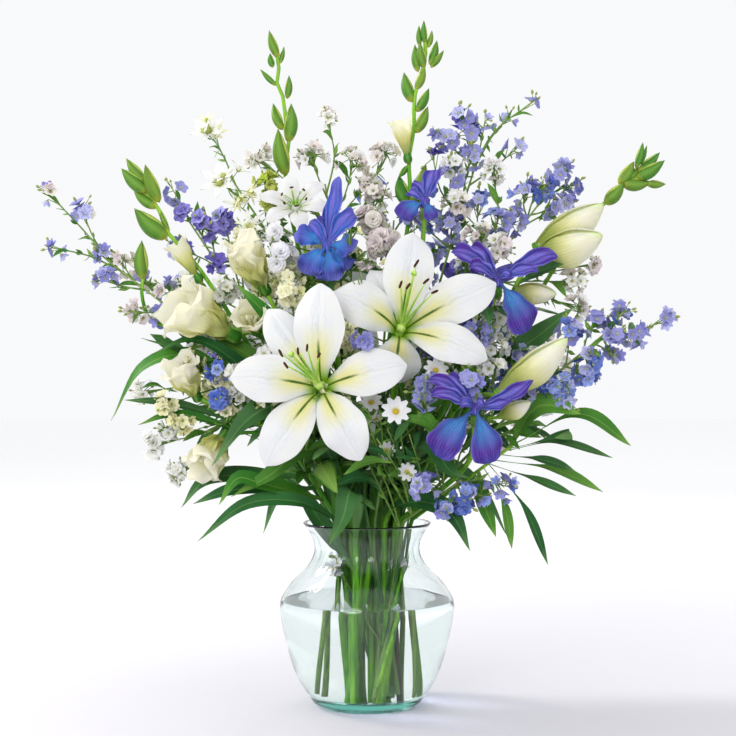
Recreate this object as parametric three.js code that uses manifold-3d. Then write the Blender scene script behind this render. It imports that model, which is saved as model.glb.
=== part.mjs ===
// A bouquet of lilies, irises, gladiolus spikes, sprays and foliage in a clear glass vase.
// Millimetres, +Z up. The origin is the middle of the vase's flat underside; the bouquet faces -Y.
import * as THREE from 'three';
import { mergeVertices } from 'three/addons/utils/BufferGeometryUtils.js';
import Module from 'manifold-3d';

const wasm = await Module();
wasm.setup();

// ---- Driving dimensions --------------------------------------------------------------------------

const eyeDistance = 1600;        // viewing distance that the front-view places below are seen from
const eyeHeight = 336;
const gap = 0.35;                // clearance between neighbouring pieces
const vaseHeight = 181.5;
const glassWall = 3;
const glassFloor = 11;           // thickness of the glass under the water
const waterHeight = 104;
const neckHeight = 156;
const neckRadius = 53;           // outer radius of the narrowest ring
const slotRadius = 43;           // the stems pass the neck inside this radius
const stemTwist = -0.42;         // turn of the stems between the neck and their feet, radians
const footSpread = 1.02;         // how far out the feet stand, as a share of the place in the neck
const rimSpread = 1.14;          // and how far out a stem is at the rim
const bendStep = 85;             // reach between two stations of a bending stem
const weldTolerance = 0.05;      // edges shorter than this are closed up
const stalkRadius = 0.9;         // stalks of single florets
const vaseSides = 18;
const throatDepth = 24;          // from where a lily's petals spread back to where they join

// Outer radius of the glass at each height.
const vaseProfile = [
  [0, 51], [5, 56.5], [30, 70.5], [58, 79], [98, 87], [110, 85.5], [122, 77.5], [138, 61],
  [neckHeight, neckRadius], [vaseHeight, 64],
];

const colours = {
  glass: 0xdfeeea, water: 0xd9efe9, stem: 0x4d8a2f, leaf: 0x2f6b24,
  white: 0xf7f7f4, cream: 0xf3efd2, stamen: 0x7fae3a, purple: 0x4a3bb0, blue: 0x3f63cf, lilac: 0xa9a6dc,
};

// ---- Vectors, profiles and closed solids ---------------------------------------------------------

const vec = (x, y, z) => new THREE.Vector3(x, y, z);
const up = vec(0, 0, 1);
const toViewer = vec(0, -1, 0);

// The point at `depth` behind the middle of the vase that is seen at (x, z) in the front view.
function front(x, z, depth) {
  const scale = 1 + depth / eyeDistance;
  return vec(x * scale, depth, eyeHeight + (z - eyeHeight) * scale);
}

function sample(profile, t) {
  let k = 1;
  while (k < profile.length - 1 && profile[k][0] < t) k += 1;
  const [t0, v0] = profile[k - 1];
  const [t1, v1] = profile[k];
  return v0 + (v1 - v0) * THREE.MathUtils.clamp((t - t0) / (t1 - t0), 0, 1);
}

function random(seed) {
  let state = seed * 2654435761 % 4294967296;
  return () => {
    state = (state * 1664525 + 1013904223) % 4294967296;
    return state / 4294967296;
  };
}

function toSolid(geometry) {
  geometry.deleteAttribute('normal');
  geometry.deleteAttribute('uv');
  const merged = mergeVertices(geometry, 1e-4);
  const index = merged.index.array;
  const triangles = [];
  for (let k = 0; k < index.length; k += 3) {
    const [a, b, c] = [index[k], index[k + 1], index[k + 2]];
    if (a !== b && b !== c && c !== a) triangles.push(a, b, c);
  }
  return new wasm.Manifold(new wasm.Mesh({
    numProp: 3,
    vertProperties: Float32Array.from(merged.attributes.position.array),
    triVerts: Uint32Array.from(triangles),
  }));
}

function solidFrom(points, triangles) {
  const geometry = new THREE.BufferGeometry().setFromPoints(points);
  geometry.setIndex(triangles);
  return toSolid(geometry);
}

const join = (solids) => wasm.Manifold.union(solids);

// ---- Forms that grow: stems, blades, buds and florets --------------------------------------------

const curveThrough = (points) => new THREE.CatmullRomCurve3(points, false, 'centripetal');

// Straight reaches from station to station, with a mitred turn at each.
class Reaches extends THREE.Curve {
  constructor(stations) {
    super();
    this.stations = stations;
  }

  getPoint(t) {
    const place = t * (this.stations.length - 1);
    const low = Math.min(Math.floor(place), this.stations.length - 2);
    return this.stations[low].clone().lerp(this.stations[low + 1], place - low);
  }

  getPointAt(u) {
    return this.getPoint(u);
  }

  getTangentAt(u) {
    const step = 1 / (this.stations.length - 1);
    return this.getPoint(Math.min(1, u + step)).sub(this.getPoint(Math.max(0, u - step))).normalize();
  }
}

// A round stem through its stations. With grow it is that much fatter, and longer at its head.
function tube(stations, radius, sides, grow = 0) {
  const outer = radius + grow / Math.cos(Math.PI / sides);
  const section = [];
  for (let k = 0; k < sides; k += 1) {
    const angle = 2 * Math.PI * k / sides;
    section.push(new THREE.Vector2(outer * Math.cos(angle), outer * Math.sin(angle)));
  }
  const path = stations.map((p) => p.clone());
  const last = path.length - 1;
  path[last].addScaledVector(path[last].clone().sub(path[last - 1]).normalize(), grow);
  return toSolid(new THREE.ExtrudeGeometry(new THREE.Shape(section), {
    steps: last, extrudePath: new Reaches(path), bevelEnabled: false,
  }));
}

const petalProfile = [[0, 0.14], [0.2, 0.42], [0.4, 0.82], [0.6, 1], [0.78, 0.88], [0.92, 0.52], [1, 0]];
const leafProfile = [[0, 0.16], [0.18, 0.42], [0.4, 0.95], [0.55, 1], [0.8, 0.62], [1, 0]];
const stalkedProfile = [[0, 0.12], [0.35, 0.14], [0.5, 0.62], [0.68, 1], [0.85, 0.72], [1, 0]];
const fallProfile = [[0, 0.14], [0.2, 0.3], [0.4, 0.66], [0.62, 1], [0.82, 0.94], [0.95, 0.56], [1, 0]];

// A thin blade along the points, `side` across it. Its edges rise by cup and are waved by wave,
// both as shares of the half width, and every facet has its twin on the other face.
function blade({ through, side, halfWidth, profile = leafProfile, cup = 0.15, wave = 0,
  thickness = 1.1, rows = 4, columns = 2 }, grow = 0) {
  const spine = curveThrough(through);
  const points = [spine.getPoint(0), spine.getPoint(1).addScaledVector(spine.getTangent(1), grow * 2)];
  const rings = [];
  for (let row = 1; row <= rows; row += 1) {
    const t = row / (rows + 1);
    const along = spine.getTangentAt(t);
    const across = side.clone().addScaledVector(along, -side.dot(along)).normalize();
    const normal = across.clone().cross(along);
    const width = halfWidth * sample(profile, t);
    const ring = { top: [], bottom: [] };
    for (let column = 0; column <= columns; column += 1) {
      const s = 2 * column / columns - 1;
      const edge = (column === 0 || column === columns);
      const ripple = wave * halfWidth * Math.abs(s) * Math.sin(row * 2.2 + s * 1.3);
      const middle = spine.getPointAt(t)
        .addScaledVector(across, s * (width + grow))
        .addScaledVector(normal, cup * width * s * s + ripple);
      const half = (edge ? 0 : thickness / 2) + grow;
      ring.top.push(points.push(middle.clone().addScaledVector(normal, half)) - 1);
      const shared = edge && grow === 0;
      ring.bottom.push(shared ? ring.top[column]
        : points.push(middle.clone().addScaledVector(normal, -half)) - 1);
    }
    rings.push(ring);
  }
  const triangles = [];
  const face = (a, b, c) => {
    if (a !== b && b !== c && c !== a) triangles.push(a, b, c);
  };
  for (let row = 0; row < rows - 1; row += 1) {
    const [here, next] = [rings[row], rings[row + 1]];
    for (let column = 0; column < columns; column += 1) {
      const right = column + 1;
      face(here.top[column], here.top[right], next.top[right]);
      face(here.top[column], next.top[right], next.top[column]);
      face(here.bottom[column], next.bottom[right], here.bottom[right]);
      face(here.bottom[column], next.bottom[column], next.bottom[right]);
    }
    face(here.top[0], next.top[0], next.bottom[0]);
    face(here.top[0], next.bottom[0], here.bottom[0]);
    face(here.top[columns], next.bottom[columns], next.top[columns]);
    face(here.top[columns], here.bottom[columns], next.bottom[columns]);
  }
  const [first, last] = [rings[0], rings[rows - 1]];
  for (let column = 0; column < columns; column += 1) {
    face(0, first.top[column + 1], first.top[column]);
    face(0, first.bottom[column], first.bottom[column + 1]);
    face(1, last.top[column], last.top[column + 1]);
    face(1, last.bottom[column + 1], last.bottom[column]);
  }
  face(0, first.top[0], first.bottom[0]);
  face(0, first.bottom[columns], first.top[columns]);
  face(1, last.bottom[0], last.top[0]);
  face(1, last.top[columns], last.bottom[columns]);
  return solidFrom(points, triangles);
}

// A bud or seed shape from its root to its tip, round about its own axis.
const budShape = [[0.05, 0.28], [0.4, 1], [0.78, 0.66]];
const antherShape = [[0.2, 1], [0.8, 1]];

function bud(root, tip, radius, sides = 5, shape = budShape, grow = 0) {
  const axis = tip.clone().sub(root);
  const length = axis.length() + 2 * grow;
  const outline = [new THREE.Vector2(0, -grow)];
  for (const [t, share] of shape) {
    outline.push(new THREE.Vector2(radius * share + 1.4 * grow, t * length));
  }
  outline.push(new THREE.Vector2(0, length));
  const geometry = new THREE.LatheGeometry(outline, sides);
  geometry.applyQuaternion(new THREE.Quaternion().setFromUnitVectors(vec(0, 1, 0), axis.normalize()));
  geometry.translate(root.x, root.y, root.z);
  return toSolid(geometry);
}

// A floret with its stalk: three-sided from the root, flaring to lobes and notches by turns.
function floret(root, centre, radius, lobes = 5, turn = 0, grow = 0) {
  const axis = centre.clone().sub(root).normalize();
  const start = Math.abs(axis.z) < 0.9 ? up : vec(1, 0, 0);
  const across = start.clone().cross(axis).normalize();
  const other = axis.clone().cross(across);
  const points = [centre.clone().addScaledVector(axis, grow - radius * 0.12)];
  const ring = (count, place) => {
    for (let k = 0; k < count; k += 1) {
      const angle = 2 * Math.PI * k / count + turn;
      const [reach, forward] = place(k);
      points.push(centre.clone()
        .addScaledVector(across, reach * Math.cos(angle))
        .addScaledVector(other, reach * Math.sin(angle))
        .addScaledVector(axis, forward));
    }
  };
  const stalk = stalkRadius + 2 * grow;
  ring(3, () => [stalk, -root.distanceTo(centre)]);
  ring(3, () => [stalk, -radius * 0.5 - grow]);
  ring(2 * lobes, (k) => [
    radius * (k % 2 === 0 ? 1 : 0.5) + 4 * grow,
    k % 2 === 0 ? radius * 0.22 : -radius * 0.05,
  ]);
  const triangles = [1, 3, 2];
  for (let k = 0; k < 3; k += 1) {
    const next = (k + 1) % 3;
    triangles.push(1 + k, 1 + next, 4 + next, 1 + k, 4 + next, 4 + k);
  }
  const [rim, count] = [7, 2 * lobes];
  let corner = 0;
  for (let k = 0; k < count; k += 1) {
    const [a, b] = [rim + k, rim + (k + 1) % count];
    triangles.push(0, a, b);
    triangles.push(4 + corner % 3, b, a);
    if (corner < 3 && 3 * (k + 1) >= count * (corner + 0.5)) {
      triangles.push(4 + corner % 3, 4 + (corner + 1) % 3, b);
      corner += 1;
    }
  }
  return solidFrom(points, triangles);
}

// The point at a share of a stem's length from its foot.
function pointOn(stem, share) {
  const { stations } = stem;
  const lengths = stations.slice(1).map((p, k) => p.distanceTo(stations[k]));
  let left = share * lengths.reduce((sum, length) => sum + length, 0);
  let k = 0;
  while (k < lengths.length - 1 && left > lengths[k]) {
    left -= lengths[k];
    k += 1;
  }
  return stations[k].clone().lerp(stations[k + 1], left / lengths[k]);
}

// ---- Leaves on a stem ----------------------------------------------------------------------------

// Leaves given as { from, at: [points in the front view], halfWidth }; from is a share of the stem.
function leaves(stem, list, grow) {
  return list.map(({ from, at, halfWidth, profile = leafProfile, rows = 4 }) => {
    const root = pointOn(stem, from);
    const through = [root, ...at.map((place) => front(...place))];
    const along = through[through.length - 1].clone().sub(root).normalize();
    const facing = vec(0, -1, 0.7);
    const side = along.clone().cross(facing).normalize();
    return blade({ through, side, halfWidth, profile, rows, cup: 0.22, wave: 0.06 }, grow);
  });
}

// ---- Lilies --------------------------------------------------------------------------------------

const lilies = [
  {
    name: 'lily_left', centre: front(-49, 320.5, -108), axis: vec(-0.12, -0.97, 0.2), columns: 4,
    petals: [[2, 94, 12, 24], [-48, 70, 24, 19], [-82, 6, 6, 23], [-49, -76, -4, 22],
      [43, -76, -4, 23], [83, 17, 10, 22]],
    anthers: [[-33, 28, -30], [-17, 30, -34], [-9, 33, -27], [-28, 17, -36], [2, 26, -31],
      [-22, 26, -44]],
    leaves: [
      { from: 0.62, at: [[-60, 302, -64], [-112, 290, -78], [-155, 238, -84]], halfWidth: 15, rows: 3 },
      { from: 0.56, at: [[-60, 255, -70], [-98, 228, -84], [-136, 207, -88]], halfWidth: 12, rows: 3 },
      { from: 0.5, at: [[-67, 202, -74], [-120, 200, -84], [-170, 162, -90]], halfWidth: 8 },
      { from: 0.46, at: [[-17, 214, -72], [-24, 186, -80], [-38, 159, -78]], halfWidth: 9 },
    ],
  },
  {
    name: 'lily_right', centre: front(35, 379, -70), axis: vec(0.08, -0.94, 0.3), columns: 4,
    petals: [[11, 90, 20, 24], [91, 41, 14, 23], [79, -36, -4, 22], [-4, -57, 36, 23],
      [-66, 32, 6, 23], [-30, 54, 28, 15]],
    anthers: [[13, 57, -28], [-2, 37, -34], [5, 35, -40], [22, 40, -34], [30, 30, -32],
      [10, 46, -42]],
    leaves: [
      { from: 0.62, at: [[62, 262, -66], [84, 232, -86], [102, 226, -94]], halfWidth: 14, rows: 3 },
      { from: 0.5, at: [[58, 202, -62], [84, 190, -72], [103, 153, -80]], halfWidth: 11, rows: 3 },
      { from: 0.7, at: [[64, 300, -44], [84, 320, -50], [96, 330, -52]], halfWidth: 12, rows: 3 },
    ],
  },
  {
    name: 'lily_back_left', centre: vec(-58, 96, 402), axis: vec(-0.1, 0.93, 0.36), columns: 2,
    petals: [[3, 84, -16, 22], [-76, 38, -8, 21], [-68, -44, 4, 21], [2, -80, 4, 21], [70, -40, -2, 21],
      [72, 40, -14, 20]],
    anthers: [[-20, 32, 32], [8, 38, 30], [26, 14, 32], [-24, 2, 36], [2, 20, 46]],
    leaves: [
      { from: 0.66, at: [[-84, 300, 84], [-128, 284, 96], [-160, 240, 98]], halfWidth: 14, rows: 3 },
      { from: 0.55, at: [[-58, 236, 84], [-84, 216, 98], [-104, 170, 102]], halfWidth: 12, rows: 3 },
    ],
  },
  {
    name: 'lily_back_right', centre: vec(58, 104, 316), axis: vec(0.14, 0.95, 0.26), columns: 2,
    petals: [[3, 84, -14, 22], [-74, 36, -6, 21], [-68, -44, 4, 21], [2, -76, 4, 20], [70, -42, 0, 21],
      [74, 38, -12, 21]],
    anthers: [[-20, 32, 32], [8, 38, 30], [26, 14, 32], [-24, 2, 36], [2, 20, 46]],
    leaves: [
      { from: 0.6, at: [[76, 236, 88], [112, 214, 96], [140, 168, 98]], halfWidth: 13, rows: 3 },
      { from: 0.5, at: [[30, 218, 84], [24, 196, 96], [20, 158, 98]], halfWidth: 11, rows: 3 },
    ],
  },
];

function lilyPetals(lily, grow) {
  const throat = lily.centre.clone().addScaledVector(lily.axis, -throatDepth);
  const solids = lily.petals.map(([across, rise, back, halfWidth], k) => {
    const layer = k % 2 === 0 ? 1.4 : -1.4;
    const out = vec(across, back, rise);
    const at = (share, forward) => lily.centre.clone()
      .addScaledVector(out, share)
      .addScaledVector(lily.axis, forward);
    const through = [at(0.02, -throatDepth), at(0.2, -6 + layer), at(0.6, 9 + layer), at(1, 0)];
    const side = out.clone().cross(lily.axis).normalize();
    return blade({
      through, side, halfWidth, profile: petalProfile, cup: -0.14, wave: 0.03, thickness: 1.3, rows: 4,
      columns: lily.columns,
    }, grow);
  });
  const heel = throat.clone().addScaledVector(lily.axis, -14);
  const cup = throat.clone().addScaledVector(lily.axis, 5);
  solids.push(bud(heel, cup, 6.6, 6, [[0, 0.85], [0.8, 1]], grow));
  return solids;
}

function lilyStamens(lily, grow) {
  const seat = lily.centre.clone().addScaledVector(lily.axis, 4 - throatDepth);
  const crown = lily.centre.clone().addScaledVector(lily.axis, -6);
  const solids = [bud(seat, crown, 3.2, 5, antherShape, grow)];
  lily.anthers.forEach(([across, rise, back], k) => {
    const end = lily.centre.clone().add(vec(across, back, rise));
    const bend = crown.clone().lerp(end, 0.5).addScaledVector(lily.axis, 5);
    const spread = end.clone().sub(crown).projectOnPlane(lily.axis).normalize();
    const base = crown.clone().lerp(seat, 0.2).addScaledVector(spread, 1.7);
    solids.push(tube([base, bend, end], 0.9, 3, grow));
    const pistil = k === lily.anthers.length - 1;
    const lie = vec(across, 0, rise).cross(lily.axis).normalize().multiplyScalar(pistil ? 2.6 : 7);
    solids.push(bud(end.clone().sub(lie), end.clone().add(lie), pistil ? 2.6 : 2, 3, antherShape, grow));
  });
  return solids;
}

// ---- Star lily and other white blooms ------------------------------------------------------------

const starLily = { centre: front(-72, 500, 8), axis: vec(-0.05, -0.8, 0.6), radius: 38, lobes: 6 };

function starPetals(star, grow) {
  const across = star.axis.clone().cross(up).normalize();
  const other = across.clone().cross(star.axis);
  const solids = [];
  for (let k = 0; k < star.lobes; k += 1) {
    const angle = 2 * Math.PI * (k + 0.25) / star.lobes;
    const out = across.clone().multiplyScalar(star.radius * Math.cos(angle))
      .addScaledVector(other, star.radius * Math.sin(angle));
    const at = (share, forward) => star.centre.clone()
      .addScaledVector(out, share)
      .addScaledVector(star.axis, forward);
    const side = out.clone().cross(star.axis).normalize();
    solids.push(blade({
      through: [at(0.02, -9), at(0.3, k % 2), at(0.7, 5 + k % 2), at(1, 3)],
      side, halfWidth: 8, profile: petalProfile, rows: 3, thickness: 1.3,
    }, grow));
  }
  const heel = star.centre.clone().addScaledVector(star.axis, -18);
  solids.push(bud(heel, star.centre.clone().addScaledVector(star.axis, -2), 4.6, 5, antherShape, grow));
  return solids;
}

// ---- Cream blooms: ruffled petals in layers ------------------------------------------------------

const creamBlooms = [
  {
    name: 'cream_bloom_top', centre: front(-113, 446, -38), axis: vec(-0.35, -0.75, 0.55),
    radius: 27, turn: 0.3,
  },
  {
    name: 'cream_bloom_upper', centre: front(-166, 396, -46), axis: vec(-0.5, -0.75, 0.4),
    radius: 34, turn: 0.9,
  },
  {
    name: 'cream_bloom_inner', centre: front(-112, 378, -56), axis: vec(-0.1, -0.95, 0.3),
    radius: 20, turn: 0.1,
  },
  {
    name: 'cream_bloom_middle', centre: front(-184, 324, -52), axis: vec(-0.6, -0.75, 0.1),
    radius: 22, turn: 0.6,
  },
  {
    name: 'cream_bloom_lower', centre: front(-162, 256, -58), axis: vec(-0.4, -0.85, -0.2),
    radius: 24, turn: 0.2,
  },
];
const creamLayers = [
  { count: 5, reach: 1, forward: 0.3, width: 0.58, tilt: 0.3 },
  { count: 3, reach: 0.6, forward: 0.62, width: 0.5, tilt: 0.3 },
];

function creamPetals(bloom, grow) {
  const axis = bloom.axis.clone().normalize();
  const across = axis.clone().cross(up).normalize();
  const other = across.clone().cross(axis);
  const solids = [];
  creamLayers.forEach((layer, level) => {
    for (let k = 0; k < layer.count; k += 1) {
      const angle = 2 * Math.PI * (k + level * 0.5) / layer.count + bloom.turn;
      const out = across.clone().multiplyScalar(Math.cos(angle))
        .addScaledVector(other, Math.sin(angle)).multiplyScalar(bloom.radius * layer.reach);
      const at = (share, forward) => bloom.centre.clone()
        .addScaledVector(out, share)
        .addScaledVector(axis, forward * bloom.radius);
      const side = out.clone().cross(axis).normalize().addScaledVector(axis, layer.tilt);
      solids.push(blade({
        through: [at(0.04, -0.5), at(0.5, -0.3), at(0.9, 0), at(1, layer.forward)],
        side, halfWidth: bloom.radius * layer.width, profile: fallProfile, cup: 0.25, wave: 0.04,
        rows: 3 - level,
      }, grow));
    }
  });
  const base = bloom.centre.clone().addScaledVector(axis, -0.85 * bloom.radius);
  const tip = bloom.centre.clone().addScaledVector(axis, 0.5 * bloom.radius);
  solids.push(bud(base, tip, bloom.radius * 0.24, 4, [[0, 0.6], [0.7, 1]], grow));
  return solids;
}

// ---- Irises: falls, standards and style arms -----------------------------------------------------

// Petals are [across, rise, back, half width, lift of the middle] from the iris's centre.
const irises = [
  {
    name: 'iris_right_low', centre: front(108, 296, -88), turn: 1, approach: vec(-4, 30, -52),
    falls: [[-33, -48, -16, 21, 8], [13, -52, -16, 19, 8]],
    standards: [[-44, 26, -6, 9, 6], [-22, 36, 12, 9, 4], [56, 20, -4, 9, 6]],
  },
  {
    name: 'iris_right_high', centre: front(131, 424, -32), turn: 1, approach: vec(-20, 8, -60),
    falls: [[27, -50, -14, 19, 8], [-16, -24, -6, 9, 3]],
    standards: [[-46, 28, -4, 9, 6], [-26, 36, 14, 9, 4], [58, 22, -4, 9, 6]],
  },
  {
    name: 'iris_left_blue', centre: front(-40, 458, -26), turn: 1, approach: vec(4, 16, -60),
    falls: [[-31, 12, -12, 12, 4], [25, 2, -10, 13, 4], [-7, -26, -16, 12, 3], [10, -24, -8, 12, 3]],
    standards: [[9, 72, 4, 9, 0], [-10, 34, 8, 8, -6], [27, 32, 8, 10, 8]],
  },
  {
    name: 'iris_centre_deep', centre: front(58, 503, -6), turn: 1, approach: vec(-4, 6, -60),
    falls: [[-24, -18, -14, 11, 4], [10, -22, -14, 9, 3]],
    standards: [[12, 32, 4, 9, 4], [-2, 20, 10, 9, 4], [-16, 10, 6, 8, 4]],
  },
  {
    name: 'iris_back_right', centre: vec(118, 78, 414), turn: -1, approach: vec(-8, -20, -56),
    falls: [[-30, -42, 16, 18, 8], [24, -44, 16, 18, 8]],
    standards: [[-42, 28, 4, 9, 6], [-4, 44, -8, 9, 4], [44, 26, 4, 9, 6]],
  },
];

function irisPetals(iris, grow) {
  const facing = vec(0, -iris.turn, 0.35).normalize();
  const petal = ([across, rise, back, halfWidth, lift], profile, cup, columns) => {
    const out = vec(across, back, rise);
    const at = (share, high) => iris.centre.clone()
      .addScaledVector(out, share)
      .addScaledVector(facing, high)
      .addScaledVector(up, high * 0.5);
    const side = out.clone().cross(facing).normalize();
    return blade({
      through: [at(0.02, 0), at(0.35, lift * 0.7), at(0.7, lift), at(1, 0)],
      side, halfWidth, profile, cup, wave: 0.06, rows: columns > 2 ? 4 : 3, columns, thickness: 1.3,
    }, grow);
  };
  const solids = [];
  iris.falls.forEach((fall) => {
    const broad = fall[3] > 15;
    solids.push(petal(fall, fallProfile, -0.12, broad ? 4 : 2));
    if (broad) solids.push(petal([fall[0] * 0.4, fall[1] * 0.1 + 6, fall[2] * 0.6, 4, 6], petalProfile, 0, 2));
  });
  iris.standards.forEach((standard) => solids.push(petal(standard, petalProfile, 0.2, 2)));
  const heel = iris.centre.clone().addScaledVector(up, -16).addScaledVector(facing, -3);
  solids.push(bud(heel, iris.centre.clone().addScaledVector(up, 5), 5.4, 5, [[0, 0.8], [0.7, 1]], grow));
  return solids;
}

// ---- Lily buds -----------------------------------------------------------------------------------

const lilyBuds = [
  { name: 'lily_bud_big', buds: [[front(130, 310, -58), front(199, 363, -70), 17]] },
  {
    name: 'lily_bud_pair',
    buds: [[front(168, 456, 2), front(234, 494, -6), 18], [front(167, 452, -3), front(234, 469, -22), 17]],
  },
  { name: 'lily_bud_small', buds: [[front(146, 414, -4), front(190, 410, -12), 11]] },
  { name: 'lily_bud_low', buds: [[front(131, 287, -62), front(164, 302, -66), 8.5]] },
];
const lilyBudShape = [[0, 0.3], [0.14, 0.62], [0.34, 0.95], [0.55, 1], [0.78, 0.74], [0.92, 0.38]];

// ---- Gladiolus spikes ----------------------------------------------------------------------------

// Buds are [share along the spike, side, length, radius, lean from the stem].
const spikeBuds = [
  [0.02, -1, 50, 9, 0.12], [0.24, 1, 42, 8, 0.2], [0.44, -1, 32, 6, 0.34], [0.6, 1, 26, 5, 0.36],
  [0.76, -1, 24, 4.6, 0.42], [0.88, 1, 20, 4.2, 0.36],
];
const spikes = [
  { name: 'spike_top_left', foot: front(-86, 530, 42), tip: front(-97, 658, 46), scale: 1 },
  { name: 'spike_top_centre', foot: front(37, 500, 22), tip: front(58, 672, 28), scale: 0.96 },
  { name: 'spike_left', foot: front(-166, 440, -6), tip: front(-232, 532, -8), scale: 0.86 },
  { name: 'spike_right', foot: front(226, 480, 28), tip: front(286, 540, 30), scale: 0.72 },
];

function spikeHeads(spike, grow) {
  const line = spike.tip.clone().sub(spike.foot);
  const along = line.clone().normalize();
  const sideways = along.clone().cross(toViewer).normalize();
  const solids = spikeBuds.map(([share, side, length, radius, lean], k) => {
    const root = spike.foot.clone().addScaledVector(line, share);
    const depth = (k % 3 - 1) * 0.25;
    const direction = along.clone()
      .addScaledVector(sideways, side * lean)
      .addScaledVector(toViewer, depth)
      .normalize();
    const tip = root.clone().addScaledVector(direction, length * spike.scale);
    return bud(root, tip, radius * spike.scale, 4, budShape, grow);
  });
  return solids;
}

// ---- Sprays and filler ---------------------------------------------------------------------------

// Each twig is [share of the stem it leaves from, x, z, depth, radius of its florets, how many].
const sprays = [
  {
    name: 'spray_far_left', seed: 1, stem: { head: front(-262, 446, -6), via: [front(-150, 352, -8)] },
    twigs: [[0.98, -322, 512, -4, 9, 1], [0.97, -285, 494, 4, 10, 2], [0.96, -314, 456, -14, 10, 1],
      [0.9, -264, 424, -18, 10, 1], [0.82, -226, 428, 10, 10, 1], [0.74, -212, 386, -10, 10, 2]],
  },
  {
    name: 'spray_left_violet', seed: 2, stem: { head: front(-180, 486, 34), via: [front(-120, 392, 30)] },
    twigs: [[0.99, -198, 516, 34, 11, 2], [0.94, -164, 488, 16, 13, 2], [0.84, -148, 440, 8, 11, 1],
      [0.97, -172, 518, 44, 9, 1]],
  },
  {
    name: 'spray_airy_white', seed: 3, stem: { head: front(-137, 528, 30), via: [front(-84, 440, 40)] },
    twigs: [[0.98, -159, 574, 24, 20, 1], [0.94, -148, 522, 8, 20, 1], [0.84, -118, 478, 10, 17, 1]],
  },
  {
    name: 'filler_top', seed: 4, stem: { head: front(-42, 520, 44), via: [front(-26, 420, 40)] },
    twigs: [[0.84, -106, 546, 62, 11, 2], [0.97, -58, 544, 40, 11, 2], [0.92, -14, 540, 36, 11, 2],
      [0.98, -40, 588, 44, 12, 1], [0.84, 12, 508, 30, 13, 2]],
  },
  {
    name: 'spray_top_right', seed: 5, stem: { head: front(112, 550, 30), via: [front(78, 440, 36)] },
    twigs: [[0.98, 76, 568, 20, 12, 2], [0.96, 100, 576, 34, 11, 1], [0.98, 168, 604, 30, 7, 1],
      [0.94, 152, 557, 30, 9, 1], [0.86, 84, 532, 12, 13, 2]],
  },
  {
    name: 'spray_right_upper', seed: 6, stem: { head: front(176, 506, 40), via: [front(108, 410, 34)] },
    twigs: [[0.98, 198, 534, 40, 11, 2], [0.95, 158, 514, 28, 11, 2], [0.93, 200, 500, 52, 10, 1],
      [0.84, 130, 484, 20, 13, 2]],
  },
  {
    name: 'spray_far_right', seed: 7, stem: { head: front(240, 372, -26), via: [front(150, 296, -34)] },
    twigs: [[0.99, 302, 386, -30, 7, 1], [0.98, 268, 370, -22, 12, 2], [0.96, 258, 394, -34, 10, 1],
      [0.9, 224, 346, -46, 13, 2], [0.84, 198, 318, -44, 12, 2], [0.96, 246, 348, -16, 8, 1]],
  },
  {
    name: 'spray_front_low', seed: 8, stem: { head: front(94, 224, -66), via: [] },
    twigs: [[0.98, 98, 200, -78, 13, 2], [0.98, 138, 218, -66, 13, 1], [0.9, 58, 220, -84, 14, 2]],
  },
  {
    name: 'filler_left', seed: 9, stem: { head: front(-136, 350, 20), via: [] },
    twigs: [[0.9, -148, 330, -4, 13, 1], [0.98, -186, 414, 18, 12, 2], [0.84, -212, 258, 0, 12, 2],
      [0.96, -224, 312, 14, 10, 1]],
  },
  {
    name: 'daisies_front', seed: 10, stem: { head: front(20, 262, -48), via: [] },
    twigs: [[0.98, 29, 293, -88, 15, 1], [0.95, 69, 334, -56, 13, 1], [0.92, 4, 300, -56, 12, 1],
      [0.9, 40, 232, -66, 10, 1]],
  },
  {
    name: 'filler_right', seed: 11, stem: { head: front(146, 468, 16), via: [front(92, 380, 14)] },
    twigs: [[0.97, 138, 452, -14, 12, 1], [0.88, 206, 422, 10, 10, 1], [0.9, 224, 440, 16, 8, 1],
      [0.98, 126, 532, 14, 13, 1], [0.96, 88, 500, 8, 12, 1]],
  },
  {
    name: 'spray_back_left', seed: 12, stem: { head: vec(-140, 74, 430), via: [] },
    twigs: [[0.97, -190, 456, 78, 13, 2], [0.95, -142, 488, 74, 13, 1], [0.86, -170, 392, 96, 13, 2]],
  },
  {
    name: 'spray_back_top', seed: 13, stem: { head: vec(28, 70, 490), via: [] },
    twigs: [[0.97, 60, 524, 72, 13, 2], [0.95, 2, 520, 82, 13, 1], [0.88, 38, 452, 104, 14, 2]],
  },
  {
    name: 'filler_back_right', seed: 14, stem: { head: vec(130, 66, 336), via: [] },
    twigs: [[0.98, 174, 362, 76, 13, 2], [0.95, 178, 304, 84, 12, 1], [0.88, 128, 262, 96, 13, 2]],
  },
];

function sprayHeads(spray, stem, grow) {
  const draw = random(spray.seed);
  const solids = [];
  spray.twigs.forEach(([share, x, z, depth, radius, count]) => {
    const from = pointOn(stem, share);
    const to = front(x, z, depth);
    solids.push(floret(from, to, radius, 5, draw() * 3, grow));
    for (let k = 1; k < count; k += 1) {
      const root = to.clone().lerp(from, Math.min(0.8, k * radius * 0.9 / to.distanceTo(from)));
      const angle = Math.PI * k + 1.2 * draw();
      const outward = vec(Math.cos(angle), Math.sign(depth - 60) * 0.6, Math.sin(angle) + 0.2).normalize();
      const centre = root.clone().addScaledVector(outward, radius * 1.25);
      solids.push(floret(root, centre, radius * (0.8 + 0.2 * draw()), 5, draw() * 3, grow));
    }
  });
  return solids;
}

// ---- Foliage -------------------------------------------------------------------------------------

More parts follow.
